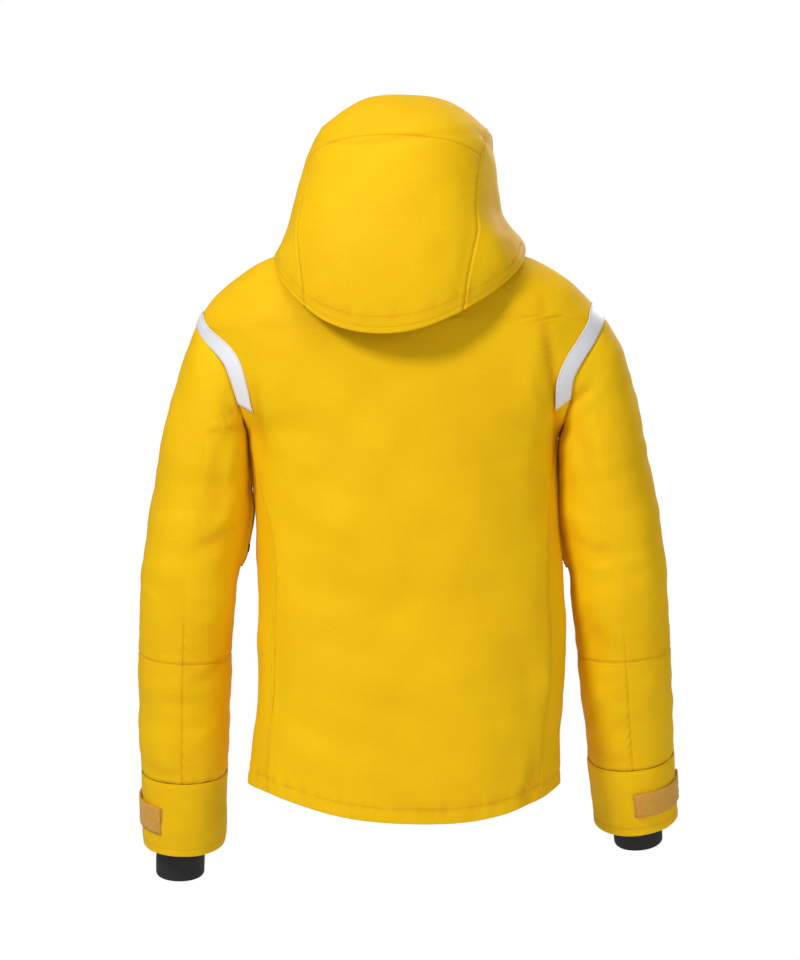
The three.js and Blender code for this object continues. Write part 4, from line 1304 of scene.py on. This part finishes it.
# ---- hood ----
HOOD_PIVOT = (-120, 20)  # y and z of the line that the hood's planes turn about
HOOD_ROWS = (  # angle of the plane, height of the arch, its half width
    (-25, 314, 157),
    (8, 273, 136),
    (30, 260, 125),
    (59, 213, 115),
    (77.5, 184, 108),
    (101, 155, 102),
)
hood_reach = curve([row[0] for row in HOOD_ROWS], [row[1] for row in HOOD_ROWS])
hood_wide = curve([row[0] for row in HOOD_ROWS], [row[2] for row in HOOD_ROWS])
HOOD_ROUND = 2.5
HOOD_WRAP = 125  # turn at which the hood ends, in front
CROWN, VISOR, FRONT = 27, 90, 101  # planes of its seams and its front edge
HOOD_YAW = math.radians(-8)
HOOD_SHIFT = 5
HOOD_SEAM = 0.7  # depth
RIM_LINES = (7, 20)  # from the rim's edge up to its stitches

# How much wider each side of the hood is than its arches, by height.
HOOD_SIDES = (  # height, left, right
    (-120, 1.0, 1.0),
    (-60, 1.04, 1.03),
    (-15, 1.08, 1.11),
    (8, 1.03, 1.10),
    (30, 1.0, 1.02),
    (48, 0.995, 0.98),
    (80, 0.975, 1.0),
    (120, 0.975, 1.02),
    (150, 0.965, 1.05),
    (168, 0.9, 1.0),
    (184, 0.85, 0.95),
    (205, 0.82, 0.93),
)
hood_left, hood_right = (
    curve([row[0] for row in HOOD_SIDES], [row[k] for row in HOOD_SIDES]) for k in (1, 2)
)


def hood_point(plane, turn, inset=0.0):
    """A point in the plane at an angle, at a turn round its arch, in degrees from the top."""
    c, s = np.cos(np.radians(turn)), np.sin(np.radians(turn))
    reach = hood_reach(plane)
    low = 0.48 * reach
    share = 2 / HOOD_ROUND
    radial = low + (reach - low - inset) * power(c, share)
    x = (hood_wide(plane) - inset) * power(s, share)
    tilt = np.radians(plane)
    y, z = HOOD_PIVOT[0] + radial * np.cos(tilt), HOOD_PIVOT[1] + radial * np.sin(tilt)
    widen = hood_right(z) + (hood_left(z) - hood_right(z)) * smoothstep(-30, 30, x) - 1
    x = x * (1 + widen * np.maximum(smoothstep(50, 100, z), smoothstep(100, 140, np.abs(x))))
    turned = x * math.cos(HOOD_YAW) - y * math.sin(HOOD_YAW)
    return stack(turned + HOOD_SHIFT, x * math.sin(HOOD_YAW) + y * math.cos(HOOD_YAW), z)


def rim_plane(turn):
    t = np.abs(turn)
    side = -4.5 - 7 * smoothstep(0, 60, -turn)
    behind = -25 + (side + 25) * np.clip(t / 90, 0, 1) ** 1.6
    return np.where(t > 90, side * (HOOD_WRAP - t) / (HOOD_WRAP - 90), behind)


def hood_turn(plane):
    """Turn of the side seam in a plane."""
    x = 114 - 0.12 * np.maximum(0, plane) + 0.6 * np.minimum(0, plane)
    ratio = np.minimum((x / hood_wide(plane)) ** (HOOD_ROUND / 2), 0.98)
    return np.degrees(np.arcsin(ratio))


def hood_cloth(start, end, low, high, columns, rows, inset=0.0):
    """A part of the hood between two turns (functions of the plane) and two planes (of the turn)."""
    u = fine_ends(columns, columns * 6)[None]
    v = fine_ends(rows, rows * 6)[:, None]
    plane = low(np.zeros_like(u)) * (1 - v) + high(np.zeros_like(u)) * v + 0 * u
    for _ in range(6):
        turn = start(plane) * (1 - u) + end(plane) * u
        plane = low(turn) * (1 - v) + high(turn) * v
    return hood_point(plane, turn, inset)


HOOD_FOLDS = (  # route of x and z, width, height
    (((120, 134), (60, 128), (-20, 138), (-90, 146)), 5, -1.6),
    (((110, 124), (40, 116), (-40, 124)), 9, 1.6),
    (((-84, 158), (-104, 140), (-116, 120)), 5, -2.0),
    (((-92, 140), (-112, 116), (-120, 90)), 8, 1.8),
    (((-120, 60), (-132, 10), (-136, -20)), 9, -2.4),
    (((130, 40), (140, 0), (146, -20)), 10, 1.8),
    (((90, 90), (110, 20), (120, -40)), 20, 2.0),
    (((-30, 60), (-50, 0), (-40, -60)), 22, -1.4),
)


def relax_hood(cloth, edges):
    still = stillness(cloth, edges, 0.2, 30)
    for height, wavelength, seed in ((1.5, 120, 71), (0.25, 45, 72)):
        cloth.push(height * ripples(cloth.points, wavelength, seed) * still, shows=False)
    for route, width, height in HOOD_FOLDS:
        fold(cloth, route, width, height)


def rim_hem(cloth):
    for height, depth in zip(RIM_LINES, (0.5, 1.0)):
        cloth.push(-depth * np.exp(-(((cloth.along - height) / 2.2) ** 2)))
    wave = ripples(cloth.points, 16, 78, stretch=(1, 1, 0.3))
    cloth.push(0.4 * wave * np.exp(-(((cloth.along - RIM_LINES[1]) / 8) ** 2)))


def always(value):
    """A function of the plane or turn that gives the same value everywhere."""
    return lambda place: value + 0 * place


def hood_seam_at(side):
    return lambda plane: side * hood_turn(plane)


def sew_rim(cloth):
    for distance in RIM_LINES:
        sew("hood", cloth, 0, distance)


def add_hood():
    crown, visor, front = always(CROWN), always(VISOR), always(FRONT)
    middle = (
        ("hood_center", "hood_center_panel", rim_plane, crown, 48, (1, 2, 3)),
        ("hood_top", "hood_top_panel", crown, visor, 38, (0, 1, 2, 3)),
        ("hood_brim", "hood_visor", visor, front, 6, (0, 2, 3)),
    )
    for name, node, low, high, rows, seams in middle:
        cloth = Cloth(hood_cloth(hood_seam_at(-1), hood_seam_at(1), low, high, 46, rows))
        relax_hood(cloth, seams)
        cloth.seam(seams, depth=HOOD_SEAM, width=2.0)
        cloth.pucker(2, 0.4, 11, 9, 81)
        cloth.pucker(3, 0.4, 12, 9, 82)
        for edge in (2, 3):
            sew("hood", cloth, edge, 5)
        for edge in seams:
            cloth.tuck(edge, 5)
        if name == "hood_center":
            rim_hem(cloth)
            sew_rim(cloth)
            cloth.turn(0, thick=3.4, rows=5)
        if name == "hood_brim":
            cloth.turn(1, thick=4.0, rows=4)
        add_cloth(name, cloth, "shell", "hood", [node])
    for index, (name, side) in enumerate(SIDES):
        wrap = always(side * HOOD_WRAP)
        cloth = Cloth(hood_cloth(hood_seam_at(side), wrap, rim_plane, front, 34, 88))
        relax_hood(cloth, (2,))
        cloth.seam((2,), depth=HOOD_SEAM, width=2.0)
        cloth.pucker(2, 0.4, 11, 9, 83 + index)
        rim_hem(cloth)
        sew("hood", cloth, 2, 5)
        sew_rim(cloth)
        sew("hood", cloth, 3, 9)
        cloth.tuck(2, 5)
        cloth.turn(3, thick=4.0, rows=4)
        cloth.turn(0, thick=3.4, rows=5)
        add_cloth(f"hood_side_cloth_{name}", cloth, "shell", "hood", [f"hood_side_{name}"])

    def lining_low(turn):
        return rim_plane(turn) + 4

    ends = always(2 - HOOD_WRAP), always(HOOD_WRAP - 2)
    lining = Cloth(hood_cloth(*ends, lining_low, front, 60, 60, 8.5), inward=True)
    lining.push(0.5 * ripples(lining.points, 60, 90))
    add_cloth("hood_lining_cloth", lining, "lining", "hood", ["hood_lining"], thick=0.8)


# ---- collar ----
COLLAR_LOW, COLLAR_TOP = 12.6, 62


def collar_point(angle, z, inset):
    rise = (z - COLLAR_LOW) / (COLLAR_TOP - COLLAR_LOW)
    c, s = np.cos(np.radians(angle)), np.sin(np.radians(angle))
    depth = np.where(s > 0, 72 - 5 * rise, front_depth(z))
    return stack((83 - 6 * rise - inset) * c, (depth - inset) * s, z)


def collar_cloth(edge, low, high, inset, rows, inward=False):
    start = -math.degrees(math.acos(edge / 80))
    angle = np.linspace(start, 180 - start, 90)[None]
    z = np.linspace(low, high, rows)[:, None]
    return Cloth(collar_point(angle, z, inset), inward=inward)


def add_collar():
    collar = collar_cloth(ZIP_EDGE, COLLAR_LOW, COLLAR_TOP - 1.5, 0, 16)
    collar.push(0.7 * ripples(collar.points, 50, 91))
    collar.push(-1.0 * np.exp(-((collar.along / 2.4) ** 2)))
    sew("root", collar, 1, 6)
    collar.turn(1, thick=3.2, rows=4)
    add_cloth("collar_cloth", collar, "shell", "root", ["collar"])
    lining = collar_cloth(FACING_EDGE, COLLAR_LOW, COLLAR_TOP - 3, 5.6, 12, inward=True)
    lining.push(0.4 * ripples(lining.points, 40, 92))
    add_cloth("collar_lining_cloth", lining, "lining", "root", ["collar_lining"], thick=1.0)
    angle = np.linspace(-25, 205, 90)[None]
    z = np.linspace(17, 40, 8)[:, None]
    base = Cloth(collar_point(angle, z, -2.6))
    base.push(0.4 * ripples(base.points, 30, 93))
    add_cloth("hood_base_cloth", base, "shell", "root", ["hood_base_band"], thick=1.6)


add_camera()
add_body()
add_lining()
add_main_zip()
add_pocket_zips()
add_sleeves()
add_bands()
add_hood()
add_collar()
add_small_parts()
add_stitches()


# ---- stage and light ----
def add_stage():
    place = (0, 0, -1.35)
    bpy.ops.mesh.primitive_circle_add(vertices=96, radius=2.8, fill_type="NGON", location=place)
    floor = bpy.context.object
    floor.name = "floor"
    look, _, shader = new_look("floor", 0.9)
    shader.inputs["Base Color"].default_value = (0.86, 0.86, 0.86, 1)
    floor.data.materials.append(look)


def add_light(name, place, target, size, watts):
    data = bpy.data.lights.new(name, "AREA")
    data.size = size
    data.energy = watts
    lamp = bpy.data.objects.new(name, data)
    bpy.context.collection.objects.link(lamp)
    lamp.location = place
    way = np.array(target) - np.array(place)
    lamp.rotation_euler = Vector(way).to_track_quat("-Z", "Y").to_euler()


def add_lights():
    world = bpy.data.worlds.new("world")
    bpy.context.scene.world = world
    world.use_nodes = True
    tree = world.node_tree
    background = tree.nodes["Background"]
    seen = tree.nodes.new("ShaderNodeLightPath")
    strength = tree.nodes.new("ShaderNodeMapRange")
    strength.inputs["To Min"].default_value = 0.24
    strength.inputs["To Max"].default_value = 1.0
    tree.links.new(seen.outputs["Is Camera Ray"], strength.inputs["Value"])
    tree.links.new(strength.outputs[0], background.inputs["Strength"])
    background.inputs["Color"].default_value = (1, 1, 1, 1)
    middle = (0, 0, -0.3)
    add_light("key", (2.2, 2.7, 1.9), middle, 0.9, 106)
    add_light("fill", (-2.2, 3.0, 0.3), middle, 2.0, 31)
    add_light("front_key", (-1.8, -3.2, 1.4), middle, 1.8, 60)
    add_light("top", (0.2, 0.3, 2.6), middle, 1.6, 22)


add_stage()
add_lights()
bpy.context.scene.view_settings.view_transform = "Standard"
